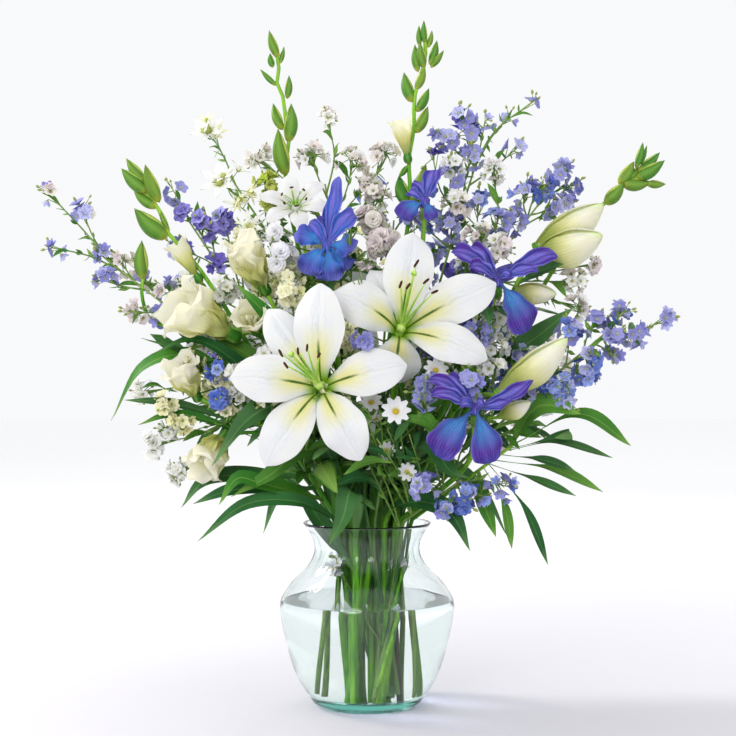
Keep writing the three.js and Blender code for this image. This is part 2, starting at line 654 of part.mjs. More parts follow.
const foliage = [
  {
    name: 'foliage_right', stem: { head: front(150, 262, -34), via: [] },
    leaves: [
      { from: 0.97, at: [[172, 298, -44], [214, 290, -52]], halfWidth: 12, rows: 3 },
      { from: 0.99, at: [[214, 290, -30], [264, 258, -26]], halfWidth: 8, profile: stalkedProfile, rows: 3 },
      { from: 0.96, at: [[205, 270, -24], [187, 266, -34]], halfWidth: 6, profile: stalkedProfile, rows: 3 },
      { from: 0.95, at: [[190, 262, -20], [246, 246, -20]], halfWidth: 5, profile: stalkedProfile, rows: 5 },
      { from: 0.93, at: [[176, 244, -30], [208, 233, -34]], halfWidth: 6, profile: stalkedProfile, rows: 3 },
      { from: 0.9, at: [[190, 234, -12], [236, 212, -12]], halfWidth: 6, profile: stalkedProfile, rows: 5 },
      { from: 0.88, at: [[170, 224, -24], [209, 208, -28]], halfWidth: 5, profile: stalkedProfile, rows: 3 },
      { from: 0.84, at: [[116, 204, -54], [129, 167, -62]], halfWidth: 8 },
      { from: 0.86, at: [[136, 204, -44], [145, 155, -52]], halfWidth: 5, profile: stalkedProfile, rows: 3 },
      { from: 0.88, at: [[158, 196, -30], [181, 139, -36]], halfWidth: 5, profile: stalkedProfile, rows: 3 },
    ],
  },
  {
    name: 'foliage_back', stem: { head: vec(-14, 84, 296), via: [] },
    leaves: [
      { from: 0.99, at: [[-20, 330, 92], [-26, 366, 88]], halfWidth: 13, rows: 3 },
      { from: 0.94, at: [[-52, 290, 100], [-100, 296, 116]], halfWidth: 13, rows: 3 },
      { from: 0.88, at: [[-20, 230, 96], [-50, 190, 110]], halfWidth: 12, rows: 3 },
      { from: 0.86, at: [[20, 250, 92], [56, 212, 112]], halfWidth: 11, rows: 3 },
    ],
  },
];

const budStemLeaves = [
  { from: 0.92, at: [[176, 434, -16], [197, 440, -32]], halfWidth: 8, rows: 3 },
  { from: 0.7, at: [[160, 360, -2], [206, 396, -8]], halfWidth: 12, rows: 3 },
];
const creamStemLeaves = [
  { from: 0.8, at: [[-176, 348, -26], [-222, 338, -30], [-256, 283, -40]], halfWidth: 9 },
  { from: 0.74, at: [[-190, 300, -32], [-243, 304, -40]], halfWidth: 6, rows: 3 },
  { from: 0.7, at: [[-190, 290, -38], [-229, 279, -44]], halfWidth: 6, rows: 3 },
  { from: 0.62, at: [[-160, 224, -50], [-186, 196, -56]], halfWidth: 9, rows: 3 },
  { from: 0.58, at: [[-134, 214, -62], [-174, 200, -66]], halfWidth: 9, rows: 3 },
  { from: 0.54, at: [[-110, 222, -84], [-129, 226, -90], [-148, 199, -92]], halfWidth: 10, rows: 3 },
];

// ---- Stems and their places in the neck ----------------------------------------------------------

const seatBehind = (centre, axis, length) => centre.clone().addScaledVector(axis, -length);

const creamSeat = (bloom) => seatBehind(bloom.centre, bloom.axis.clone().normalize(), bloom.radius * 0.66);

const stems = {};
for (const lily of lilies) {
  lily.axis.normalize();
  stems[`${lily.name}_stem`] = {
    radius: 3.4, sides: 4, colour: 'stem', leaves: lily.leaves,
    via: [seatBehind(lily.centre, lily.axis, 60).addScaledVector(up, -34)],
    head: seatBehind(lily.centre, lily.axis, throatDepth + 8),
  };
}
starLily.axis.normalize();
stems.star_lily_stem = {
  radius: 2.4, sides: 4, colour: 'stem', via: [front(-50, 400, -6)],
  head: seatBehind(starLily.centre, starLily.axis, 13),
};
stems.lily_bud_stem = {
  radius: 3.4, sides: 4, colour: 'stem', via: [front(104, 330, 2)], head: front(167, 453, 0),
  leaves: budStemLeaves,
  branches: [[0.62, front(129, 309, -58), 2.4], [0.84, front(147, 414, -4), 1.8],
    [0.56, front(130, 286, -61), 1.8]],
};
stems.cream_stem_upper = {
  radius: 3, sides: 4, colour: 'stem', via: [front(-60, 330, -20)], head: creamSeat(creamBlooms[0]),
  branches: [[0.86, creamSeat(creamBlooms[1]), 2], [0.8, creamSeat(creamBlooms[2]), 2]],
};
stems.cream_stem_lower = {
  radius: 3, sides: 4, colour: 'stem', via: [front(-90, 270, -40)], head: creamSeat(creamBlooms[3]),
  branches: [[0.72, creamSeat(creamBlooms[4]), 2]], leaves: creamStemLeaves,
};
for (const iris of irises) {
  stems[`${iris.name}_stem`] = {
    radius: 3.1, sides: 4, colour: 'stem',
    via: [iris.centre.clone().add(iris.approach)],
    head: iris.centre.clone().add(vec(0, 2.5 * iris.turn, -9)),
  };
}
for (const spike of spikes) {
  stems[spike.name] = {
    radius: 2.6, sides: 4, colour: 'leaf',
    via: [spike.foot.clone().lerp(vec(0, spike.foot.y * 0.5, neckHeight), 0.4), spike.foot], head: spike.tip,
    heads: (stem, grow) => spikeHeads(spike, grow),
  };
}
for (const spray of sprays) {
  stems[spray.name] = {
    radius: 1.9, sides: 3, colour: spray.name.startsWith('spray') ? 'lilac' : 'white', ...spray.stem,
    heads: (stem, grow) => sprayHeads(spray, stem, grow),
  };
}
for (const spray of foliage) {
  stems[spray.name] = { radius: 2, sides: 3, colour: 'leaf', leaves: spray.leaves, ...spray.stem };
}

// Each stem passes the neck on the side that its head lies on; crowding stems push each other apart.
function neckSlots(list) {
  const slots = list.map(({ via, head }) => {
    const aim = (via[0] ?? head);
    const direction = new THREE.Vector2(aim.x, aim.y);
    const lean = Math.atan2(direction.length(), aim.z - neckHeight);
    return direction.setLength(slotRadius * Math.min(1, lean / 1.1));
  });
  for (let round = 0; round < 400; round += 1) {
    for (let i = 0; i < slots.length; i += 1) {
      for (let j = 0; j < i; j += 1) {
        const apart = slots[i].clone().sub(slots[j]);
        const wanted = list[i].radius + list[j].radius + 3.4;
        const short = wanted - apart.length();
        if (short > 0) {
          apart.setLength(short * 0.5);
          slots[i].add(apart);
          slots[j].sub(apart);
        }
      }
    }
    slots.forEach((slot) => slot.clampLength(0, slotRadius));
  }
  return slots;
}

const stemNames = Object.keys(stems);
neckSlots(Object.values(stems)).forEach((slot, k) => {
  stems[stemNames[k]].slot = slot;
});

// A stem stands straight from its foot to the neck, then bends towards its head.
function stemStations({ slot, via, head }) {
  const level = (height, spread, turn) => {
    const place = slot.clone().rotateAround(new THREE.Vector2(), turn).multiplyScalar(spread);
    return vec(place.x, place.y, height);
  };
  const foot = level(glassFloor + gap, footSpread, stemTwist);
  const neck = level(neckHeight, 1, 0);
  const rim = level(vaseHeight + 4, rimSpread, 0);
  const upper = curveThrough([rim, ...via, head]);
  return [foot, neck, ...upper.getSpacedPoints(Math.max(2, Math.round(upper.getLength() / bendStep)))];
}

for (const stem of Object.values(stems)) stem.stations = stemStations(stem);

function trunk(stem, grow) {
  const solids = [tube(stem.stations, stem.radius, stem.sides, grow)];
  for (const [share, end, radius] of stem.branches ?? []) {
    const from = pointOn(stem, share);
    const bend = from.clone().lerp(end, 0.5).addScaledVector(up, 8);
    solids.push(tube([from, bend, end], radius, 4, grow));
  }
  return join(solids);
}

// ---- Vase and water ------------------------------------------------------------------------------

const lathe = (outline, segments) => {
  const geometry = new THREE.LatheGeometry(outline.map(([z, r]) => new THREE.Vector2(r, z)), segments);
  geometry.rotateX(Math.PI / 2);
  return toSolid(geometry);
};

function vase(grow) {
  const inside = vaseProfile.filter(([z]) => z > glassFloor + 4);
  const inner = inside.map(([z, r]) => [z, r - glassWall - grow]).reverse();
  const outer = vaseProfile.map(([z, r]) => [z, r + grow]);
  const floorRadius = sample(vaseProfile, glassFloor) - glassWall - 4;
  const rim = [[vaseHeight + 0.8 + grow, vaseProfile[vaseProfile.length - 1][1] - 0.5 * glassWall]];
  const base = [[glassFloor + grow, floorRadius - grow], [glassFloor + grow, 0]];
  return lathe([[0, 0], ...outer, ...rim, ...inner, ...base], vaseSides);
}

function water() {
  const wall = [30, 58, 98, waterHeight]
    .map((z) => [z, sample(vaseProfile, z) - glassWall - gap / Math.cos(Math.PI / vaseSides)]);
  const floorRadius = sample(vaseProfile, glassFloor) - glassWall - 4 - 2 * gap;
  return lathe([[glassFloor + gap, 0], [glassFloor + gap, floorRadius], ...wall, [waterHeight, 0]], vaseSides);
}

// ---- Every node, with its neighbours kept clear --------------------------------------------------

const nodes = [];
const addNode = (name, colour, shapes, own = null) => nodes.push({ name, colour, shapes, own });

for (const [name, stem] of Object.entries(stems)) {
  const shapes = (grow) => [
    ...leaves(stem, stem.leaves ?? [], grow),
    ...(stem.heads ? stem.heads(stem, grow) : []),
  ];
  stem.trunk = trunk(stem, 0);
  stem.clear = trunk(stem, gap);
  addNode(name, stem.colour, shapes, stem);
}
for (const lily of lilies) {
  addNode(`${lily.name}_stamens`, 'stamen', (grow) => lilyStamens(lily, grow));
  addNode(`${lily.name}_petals`, 'white', (grow) => lilyPetals(lily, grow));
}
addNode('star_lily_petals', 'white', (grow) => starPetals(starLily, grow));
for (const bloom of creamBlooms) addNode(bloom.name, 'cream', (grow) => creamPetals(bloom, grow));
for (const iris of irises) {
  const colour = iris.name.endsWith('blue') ? 'blue' : 'purple';
  addNode(`${iris.name}_petals`, colour, (grow) => irisPetals(iris, grow));
}
for (const item of lilyBuds) {
  const shapes = (grow) => item.buds.map(([root, tip, radius]) => bud(root, tip, radius, 6, lilyBudShape, grow));
  addNode(item.name, 'cream', shapes);
}

// Blooms keep their whole form; sprays, spikes and leaves give way to them, and all give way to stems.
const rank = ({ name, own }) => {
  if (!own) return name.includes('stamens') ? 0 : 1;
  if (own.heads) return name.startsWith('spike') ? 2 : 3;
  return 4;
};
nodes.sort((a, b) => rank(a) - rank(b));

function touching(a, b) {
  const [p, q] = [a.boundingBox(), b.boundingBox()];
  return p.min.every((low, k) => low <= q.max[k] && q.min[k] <= p.max[k]);
}

function largest(solid) {
  const pieces = solid.decompose();
  pieces.sort((a, b) => b.volume() - a.volume());
  return pieces[0];
}

const finished = [];
const clearOfGlass = vase(gap);
for (const node of nodes) {
  const shapes = node.shapes(0);
  const others = Object.values(stems).filter((stem) => stem !== node.own).map((stem) => stem.clear);
  let solid = node.own ? node.own.trunk : null;
  if (shapes.length > 0) {
    let form = join(shapes);
    for (const other of [...others, ...finished, clearOfGlass]) {
      if (touching(form, other)) form = form.subtract(other);
    }
    solid = solid ? form.add(solid) : form;
    finished.push(join(node.shapes(gap)));
  }
  node.solid = largest(solid).simplify(weldTolerance);
}

let pool = water();
for (const stem of Object.values(stems)) pool = pool.subtract(stem.clear);

// ---- The scene graph -----------------------------------------------------------------------------

function mesh(name, colour, solid, look) {
  const { vertProperties, triVerts } = solid.getMesh();
  const geometry = new THREE.BufferGeometry();
  geometry.setAttribute('position', new THREE.BufferAttribute(Float32Array.from(vertProperties), 3));
  geometry.setIndex(Array.from(triVerts));
  const result = new THREE.Mesh(geometry, new THREE.MeshStandardMaterial({ color: colours[colour], ...look }));
  result.name = name;
  return result;
}

const bouquet = new THREE.Group();
bouquet.add(mesh('vase', 'glass', vase(0), { roughness: 0.02, metalness: 0, transparent: true, opacity: 0.4 }));
bouquet.add(mesh('water', 'water', pool, { roughness: 0.02, metalness: 0, transparent: true, opacity: 0.5 }));
for (const node of nodes) {
  bouquet.add(mesh(node.name, node.colour, node.solid, { roughness: 0.5, metalness: 0 }));
}

export default bouquet;
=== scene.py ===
"""A bouquet of lilies, irises, bud spikes, sprays and foliage in a clear glass vase.

Places are in millimetres, with +Z up and the bouquet facing -Y, and turned to metres in each mesh.
"""

import math
import random
from collections import defaultdict, namedtuple

import bpy
import numpy as np
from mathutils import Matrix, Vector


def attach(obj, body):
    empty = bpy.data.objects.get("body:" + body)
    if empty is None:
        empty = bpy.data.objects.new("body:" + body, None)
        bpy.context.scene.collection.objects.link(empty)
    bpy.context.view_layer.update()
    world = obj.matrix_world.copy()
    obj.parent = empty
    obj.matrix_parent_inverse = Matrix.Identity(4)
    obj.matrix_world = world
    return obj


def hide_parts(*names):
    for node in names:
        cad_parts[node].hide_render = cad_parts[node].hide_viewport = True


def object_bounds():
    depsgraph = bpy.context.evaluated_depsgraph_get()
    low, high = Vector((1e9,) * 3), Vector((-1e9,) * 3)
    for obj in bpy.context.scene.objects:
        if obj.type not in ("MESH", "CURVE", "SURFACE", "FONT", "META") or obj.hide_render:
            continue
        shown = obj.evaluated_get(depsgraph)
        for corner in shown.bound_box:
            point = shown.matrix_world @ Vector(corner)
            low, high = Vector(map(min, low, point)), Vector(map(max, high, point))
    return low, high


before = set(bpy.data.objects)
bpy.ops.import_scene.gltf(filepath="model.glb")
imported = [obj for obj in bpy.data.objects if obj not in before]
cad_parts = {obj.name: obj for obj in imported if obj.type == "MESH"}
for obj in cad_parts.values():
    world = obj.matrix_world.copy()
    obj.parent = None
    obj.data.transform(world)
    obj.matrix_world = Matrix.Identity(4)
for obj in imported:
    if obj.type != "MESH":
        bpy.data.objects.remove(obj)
cad_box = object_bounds()

MM = 0.001
EYE_DISTANCE = 1600
EYE_HEIGHT = 336
UP = np.array((0.0, 0.0, 1.0))
TO_VIEWER = np.array((0.0, -1.0, 0.0))

VASE_HEIGHT = 181.5
GLASS_WALL = 3.0
GLASS_FLOOR = 11.0
WATER_HEIGHT = 104.0
NECK_HEIGHT = 156.0
SLOT_RADIUS = 43.0
NECK_INSIDE = 44
STEM_GAP = 3.4
STEM_TWIST = -0.42
TWIST_PLAY = 1.3
FOOT_SPREAD = 1.02
FOOT_PLAY = (0.7, 1.42)
FLAT_FLOOR = 42
FLOOR_RISE = 1.1
RIM_SPREAD = 1.14
GAP = 0.35
THROAT_DEPTH = 24.0
SHARP_ANGLE = math.radians(80)
GROOVE_WIDTH = 0.11

EDGE_MARGIN = 4
LOWEST_GROWTH = 200
BEHIND_BLOOM = -9
FLORET_MARGIN = 3
BUD_MARGIN = 2
LEAF_TURN = 2.4
FILL_TURN = 2.39996


# ---- Places and curves ----

def vec(x, y, z):
    return np.array((x, y, z), float)


def front(x, z, depth):
    """The point at a depth behind the vase's axis that is seen at (x, z) in the front view."""
    scale = 1 + depth / EYE_DISTANCE
    return vec(x * scale, depth, EYE_HEIGHT + (z - EYE_HEIGHT) * scale)


def unit(v):
    return v / np.maximum(np.linalg.norm(v, axis=-1, keepdims=True), 1e-9)


def square(a, b):
    """The direction square to two others."""
    return unit(np.cross(a, b))


def spoke(angle):
    return vec(math.cos(angle), math.sin(angle), 0)


def curve(points, count):
    """Even places along a soft curve that passes through the points."""
    knots = [np.asarray(p, float) for p in points]
    knots = [2 * knots[0] - knots[1], *knots, 2 * knots[-1] - knots[-2]]
    share = np.linspace(0, 1, 24, endpoint=False)[:, None]
    fine = []
    for a, b, c, d in zip(knots, knots[1:], knots[2:], knots[3:]):
        before, here, after = [max(1e-6, np.linalg.norm(v)) ** 0.5 for v in (b - a, c - b, d - c)]
        leave = ((b - a) / before - (c - a) / (before + here) + (c - b) / here) * here
        arrive = ((c - b) / here - (d - b) / (here + after) + (d - c) / after) * here
        fine.append(b * (2 * share ** 3 - 3 * share ** 2 + 1) + leave * (share ** 3 - 2 * share ** 2 + share)
                    + c * (3 * share ** 2 - 2 * share ** 3) + arrive * (share ** 3 - share ** 2))
    fine = np.vstack([*fine, knots[-2][None]])
    reach = np.concatenate([[0], np.cumsum(np.linalg.norm(np.diff(fine, axis=0), axis=1))])
    at = np.linspace(0, reach[-1], count)
    return np.stack([np.interp(at, reach, fine[:, k]) for k in range(3)], 1)


def point_on(path, share):
    """The point at a share of a path's length, and the path's direction there."""
    steps = np.linalg.norm(np.diff(path, axis=0), axis=1)
    reach = np.concatenate([[0], np.cumsum(steps)])
    at = share * reach[-1]
    k = min(len(steps) - 1, max(0, int(np.searchsorted(reach, at)) - 1))
    ahead = unit(path[k + 1] - path[k])
    return path[k] + ahead * (at - reach[k]), ahead


def petal_spine(centre, out, axis, places):
    """Points at shares of the way out from a centre, each lifted along an axis."""
    return [centre + out * share + axis * lift for share, lift in places]


def outward(axis, aside, angle):
    """The direction at an angle round an axis, counted from a line square to both given ones."""
    across = square(axis, aside)
    return across * math.cos(angle) + np.cross(across, axis) * math.sin(angle)


def scatter(draw, spread=1, forward=0):
    """A loose direction, which may lean towards the viewer."""
    return vec(draw.gauss(0, spread), draw.gauss(-forward, spread), draw.gauss(0, spread))


def smooth(table, t):
    """A soft curve through a table of (place, value)."""
    x, y = np.array(table, float).T
    slope = np.gradient(y, x)
    k = np.clip(np.searchsorted(x, t) - 1, 0, len(x) - 2)
    span = x[k + 1] - x[k]
    u = (t - x[k]) / span
    return (y[k] * (1 + 2 * u) * (1 - u) ** 2 + slope[k] * span * u * (1 - u) ** 2
            + y[k + 1] * u * u * (3 - 2 * u) + slope[k + 1] * span * u * u * (u - 1))


# ---- Forms: what a piece's mesh is gathered in ----

def linked(name, data):
    """A new object that is in the scene."""
    made = bpy.data.objects.new(name, data)
    bpy.context.scene.collection.objects.link(made)
    return made


def read(layer, label, kind, count):
    values = np.empty(count, kind)
    layer.foreach_get(label, values)
    return values


class Form:
    """Points, faces and finishes of one piece, with each point's place on its petal or stem."""

    def __init__(self):
        self.points = []
        self.places = []
        self.tints = []
        self.corners = []
        self.counts = []
        self.finishes = []
        self.looks = []
        self.size = 0

    def add(self, points, corners, counts, look, places, tint=0.0):
        if look not in self.looks:
            self.looks.append(look)
        self.points.append(points)
        self.places.append(places)
        self.tints.append(np.broadcast_to(np.asarray(tint, float), (len(points),)))
        self.corners.append(corners + self.size)
        self.counts.append(counts)
        self.finishes.append(np.full(len(counts), self.looks.index(look)))
        self.size += len(points)

    def take(self, mesh, look):
        """Adds what a growing tree made."""
        size = len(mesh.vertices)
        points = read(mesh.vertices, "co", np.float32, size * 3)
        corners = read(mesh.loops, "vertex_index", np.int32, len(mesh.loops))
        counts = read(mesh.polygons, "loop_total", np.int32, len(mesh.polygons))
        places = read(mesh.attributes["place"].data, "vector", np.float32, size * 3)
        tints = read(mesh.attributes["tint"].data, "value", np.float32, size)
        self.add(points.reshape(-1, 3) / MM, corners, counts, look, places.reshape(-1, 3), tints)
        bpy.data.meshes.remove(mesh)

    def mesh(self, name):
        mesh = bpy.data.meshes.new(name)
        points = np.vstack(self.points) * MM
        corners = np.concatenate(self.corners)
        counts = np.concatenate(self.counts)
        mesh.vertices.add(len(points))
        mesh.vertices.foreach_set("co", points.astype(np.float32).ravel())
        mesh.loops.add(len(corners))
        mesh.loops.foreach_set("vertex_index", corners.astype(np.int32))
        mesh.polygons.add(len(counts))
        mesh.polygons.foreach_set("loop_start", (np.cumsum(counts) - counts).astype(np.int32))
        mesh.polygons.foreach_set("loop_total", counts.astype(np.int32))
        mesh.polygons.foreach_set("material_index", np.concatenate(self.finishes).astype(np.int32))
        mesh.polygons.foreach_set("use_smooth", np.ones(len(counts), bool))
        place = mesh.attributes.new("place", "FLOAT_VECTOR", "POINT")
        place.data.foreach_set("vector", np.vstack(self.places).astype(np.float32).ravel())
        tint = mesh.attributes.new("tint", "FLOAT", "POINT")
        tint.data.foreach_set("value", np.concatenate(self.tints).astype(np.float32))
        for look in self.looks:
            mesh.materials.append(look)
        mesh.update(calc_edges=True)
        mesh.validate()
        mesh.set_sharp_from_angle(angle=SHARP_ANGLE)
        return mesh

    def piece(self, name, slot, *nodes):
        """The finished piece, standing on the root in place of the plain solids."""
        made = linked(name, self.mesh(name))
        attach(made, "root")
        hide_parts(*nodes)
        return made


def quads(rows, columns, wrap=False):
    """Corners of a grid's faces, row by row."""
    across = columns if wrap else columns - 1
    row, column = np.meshgrid(np.arange(rows - 1), np.arange(across), indexing="ij")
    beside = (column + 1) % columns
    a = row * columns + column
    b = row * columns + beside
    return np.stack([a, b, b + columns, a + columns], -1).reshape(-1, 4)


def add_round(form, look, points, rings, sides, places, tint=0.0):
    """Adds rings of points, closed by caps that meet in the two last points."""
    grid = quads(rings, sides, wrap=True)
    here = np.arange(sides)
    beside = (here + 1) % sides
    last = (rings - 1) * sides
    low = np.full(sides, rings * sides)
    caps = np.vstack([np.stack([low, beside, here], -1), np.stack([low + 1, last + here, last + beside], -1)])
    form.add(points, np.concatenate([grid.ravel(), caps.ravel()]),
             np.concatenate([np.full(len(grid), 4), np.full(len(caps), 3)]), look, places, tint)


def sheet(form, look, spine, side, half_width, outline, rows=20, columns=8, cup=0.0, ruffle=0.0,
          waves=2.5, phase=0.0, groove=0.0, thickness=0.8, twist=0.0, tint=0.0, uneven=0.0):
    """A thin closed blade along a spine: a petal, a leaf or a sheath."""
    t = np.linspace(0, 1, rows + 1)[:, None]
    s = np.linspace(-1, 1, columns + 1)[None, :]
    middle = curve(spine, rows + 1)
    along = unit(np.gradient(middle, axis=0))
    across = unit(side - along * (along @ side)[:, None])
    normal = np.cross(across, along)
    turn = twist * t
    across, normal = (across * np.cos(turn) + normal * np.sin(turn),
                      normal * np.cos(turn) - across * np.sin(turn))
    share = smooth(outline, t)
    edge = np.sin(9.0 * t + phase + 1.9 * np.sign(s)) + 0.6 * np.sin(21.0 * t + 2 * phase - np.sign(s))
    width = half_width * share * (1 + uneven * edge * np.abs(s) ** 2)
    wave = np.sin(2 * np.pi * waves * t + phase + 1.1 * np.sign(s)) * np.abs(s) ** 1.6
    lift = (cup * width * s ** 2 + ruffle * half_width * wave * np.sqrt(np.clip(share, 0, 1))
            - groove * np.exp(-(s * share / GROOVE_WIDTH) ** 2) * np.sin(np.pi * np.clip(t * 1.1, 0, 1)))
    half = 0.5 * thickness * np.sqrt(np.clip(1 - s ** 2, 0, 1)) * np.ones_like(t)
    base = middle[:, None] + across[:, None] * (width * s)[..., None]
    top = base + normal[:, None] * (lift + half)[..., None]
    bottom = base + normal[:, None] * (lift - half)[..., None]
    count = (rows + 1) * (columns + 1)
    index = np.arange(count).reshape(rows + 1, columns + 1)
    under = index.copy()
    under[1:-1, 1:-1] = count + np.arange((rows - 1) * (columns - 1)).reshape(rows - 1, columns - 1)
    grid = quads(rows + 1, columns + 1)
    places = np.zeros((rows + 1, columns + 1, 3))
    places[..., 0] = s
    places[..., 1] = t
    places[..., 2] = 1
    lower = places[1:-1, 1:-1].copy()
    lower[..., 2] = -1
    points = np.vstack([top.reshape(-1, 3), bottom[1:-1, 1:-1].reshape(-1, 3)])
    faces = np.vstack([grid, under.ravel()[grid][:, ::-1]])
    form.add(points, faces.ravel(), np.full(len(faces), 4), look,
             np.vstack([places.reshape(-1, 3), lower.reshape(-1, 3)]), tint)


def round_form(form, look, spine, radius, outline, sides=12, rings=14, seams=3, seam=0.0, tint=0.0,
               flat=1.0):
    """A closed round body along a spine: a bud, an anther or a petal's heel."""
    t = np.linspace(0, 1, rings + 2)
    middle = curve(spine, rings + 2)
    along = unit(np.gradient(middle, axis=0))
    start = UP if abs(along[0] @ UP) < 0.9 else vec(1, 0, 0)
    across = square(start, along)
    other = np.cross(along, across) * flat
    angle = np.linspace(0, 2 * np.pi, sides, endpoint=False)
    closeness = np.abs(np.cos(seams * angle / 2)) ** 6
    reach = radius * smooth(outline, t)[1:-1, None] * (1 - seam * closeness)[None, :]
    ring = (middle[1:-1, None] + across[1:-1, None] * (reach * np.cos(angle))[..., None]
            + other[1:-1, None] * (reach * np.sin(angle))[..., None])
    points = np.vstack([ring.reshape(-1, 3), middle[:1], middle[-1:]])
    places = np.zeros((rings, sides, 3))
    places[..., 0] = closeness
    places[..., 1] = t[1:-1, None]
    places[..., 2] = 1
    ends = np.array([[0.5, 0, 1], [0.5, 1, 1]])
    add_round(form, look, points, rings, sides, np.vstack([places.reshape(-1, 3), ends]), tint)


def turned(form, look, outline, segments=144, flutes=0, depth=0.0):
    """A closed body about the vase's axis, from (height, radius) places, with soft flutes at the neck."""
    angle = np.linspace(0, 2 * np.pi, segments, endpoint=False)
    height, radius = np.array(outline, float).T
    rings = len(height) - 2
    level = height[1:-1, None]
    flute_middle = NECK_HEIGHT - 8
    flute_reach = 17
    neck = depth * np.exp(-((level - flute_middle) / flute_reach) ** 2)
    reach = radius[1:-1, None] - neck * (0.5 + 0.5 * np.cos(flutes * angle))
    ring = np.stack([reach * np.cos(angle), reach * np.sin(angle),
                     np.broadcast_to(level, (rings, segments))], -1)
    points = np.vstack([ring.reshape(-1, 3), [[0, 0, height[0]]], [[0, 0, height[-1]]]])
    add_round(form, look, points, rings, segments, np.zeros((len(points), 3)))


# ---- Growing trees: stems along their paths, and florets on their points ----

class Nodes:
    """Short calls that set nodes into a tree and join them."""

    def __init__(self, tree):
        self.tree = tree

    def fill(self, socket, value):
        """Joins a socket to the one given, or sets its value."""
        if isinstance(value, bpy.types.NodeSocket):
            self.tree.links.new(value, socket)
        else:
            socket.default_value = value

    def node(self, kind, links=(), **settings):
        made = self.tree.nodes.new(kind)
        for key, value in settings.items():
            setattr(made, key, value)
        for key, value in dict(links).items():
            self.fill(made.inputs[key], value)
        return made


class Tree(Nodes):
    """What stems and florets grow by, with named inputs for its sizes."""

    def __init__(self, name, sockets):
        super().__init__(bpy.data.node_groups.new(name, "GeometryNodeTree"))
        face = self.tree.interface
        face.new_socket("Geometry", in_out="INPUT", socket_type="NodeSocketGeometry")
        self.keys = {}
        for label, kind in sockets:
            self.keys[label] = face.new_socket(label, in_out="INPUT", socket_type=kind).identifier
        face.new_socket("Geometry", in_out="OUTPUT", socket_type="NodeSocketGeometry")
        self.input = self.node("NodeGroupInput").outputs
        self.output = self.node("NodeGroupOutput").inputs

    def stored(self, label, kind):
        return self.node("GeometryNodeInputNamedAttribute", {"Name": label}, data_type=kind).outputs[0]

    def finish(self, grown):
        """Ends the tree in one plain mesh with its finish set."""
        whole = self.node("GeometryNodeRealizeInstances", {"Geometry": grown}).outputs[0]
        done = self.node("GeometryNodeSetMaterial", {"Geometry": whole, "Material": self.input["Look"]})
        self.fill(self.output["Geometry"], done.outputs[0])
        return self

    def grow(self, source, **inputs):
        """The plain mesh that the tree makes of a source mesh."""
        holder = linked("grower", source)
        modifier = holder.modifiers.new("growth", "NODES")
        modifier.node_group = self.tree
        for label, value in inputs.items():
            modifier[self.keys[label]] = value
        evaluated = holder.evaluated_get(bpy.context.evaluated_depsgraph_get())
        mesh = bpy.data.meshes.new_from_object(evaluated)
        bpy.data.objects.remove(holder)
        bpy.data.meshes.remove(source)
        return mesh


def stem_tree():
    """A round stem along each path, as thick as its points say."""
    tree = Tree("stems_along_paths", [("Sides", "NodeSocketInt"), ("Look", "NodeSocketMaterial")])
    line = tree.node("GeometryNodeMeshToCurve", {0: tree.input["Geometry"]}).outputs[0]
    part = tree.node("GeometryNodeSplineParameter").outputs["Factor"]
    place = tree.node("ShaderNodeCombineXYZ", {"Y": part, "Z": 1.0}).outputs[0]
    line = tree.node("GeometryNodeStoreNamedAttribute",
                     {"Geometry": line, "Name": "place", "Value": place},
                     data_type="FLOAT_VECTOR").outputs[0]
    ring = tree.node("GeometryNodeCurvePrimitiveCircle",
                     {"Resolution": tree.input["Sides"], "Radius": 1.0}).outputs[0]
    skin = tree.node("GeometryNodeCurveToMesh",
                     {"Curve": line, "Profile Curve": ring, "Scale": tree.stored("girth", "FLOAT"),
                      "Fill Caps": True}).outputs[0]
    soft = tree.node("GeometryNodeSetShadeSmooth", {"Geometry": skin}).outputs[0]
    return tree.finish(soft)


def floret_tree():
    """A copy of one floret on each point, facing as the point says, turned about by a fixed draw."""
    tree = Tree("florets_on_points", [("Floret", "NodeSocketObject"), ("Size", "NodeSocketFloat"),
                                      ("Seed", "NodeSocketInt"), ("Look", "NodeSocketMaterial")])
    shape = tree.node("GeometryNodeObjectInfo", {"Object": tree.input["Floret"]}).outputs["Geometry"]
    draw = tree.node("FunctionNodeRandomValue", data_type="FLOAT")
    draw.inputs[3].default_value = 2 * math.pi
    tree.fill(draw.inputs["Seed"], tree.input["Seed"])
    spin = tree.node("FunctionNodeAxisAngleToRotation", {"Axis": UP, "Angle": draw.outputs[1]}).outputs[0]
    facing = tree.node("FunctionNodeAlignRotationToVector",
                       {"Vector": tree.stored("facing", "FLOAT_VECTOR")}, axis="Z").outputs[0]
    turn = tree.node("FunctionNodeRotateRotation", {"Rotation": facing, "Rotate By": spin},
                     rotation_space="LOCAL").outputs[0]
    size = tree.node("ShaderNodeMath", {0: tree.stored("size", "FLOAT"), 1: tree.input["Size"]},
                     operation="MULTIPLY").outputs[0]
    copies = tree.node("GeometryNodeInstanceOnPoints",
                       {"Points": tree.input["Geometry"], "Instance": shape, "Rotation": turn,
                        "Scale": size}).outputs[0]
    return tree.finish(copies)


STEMS = stem_tree()
FLORETS = floret_tree()


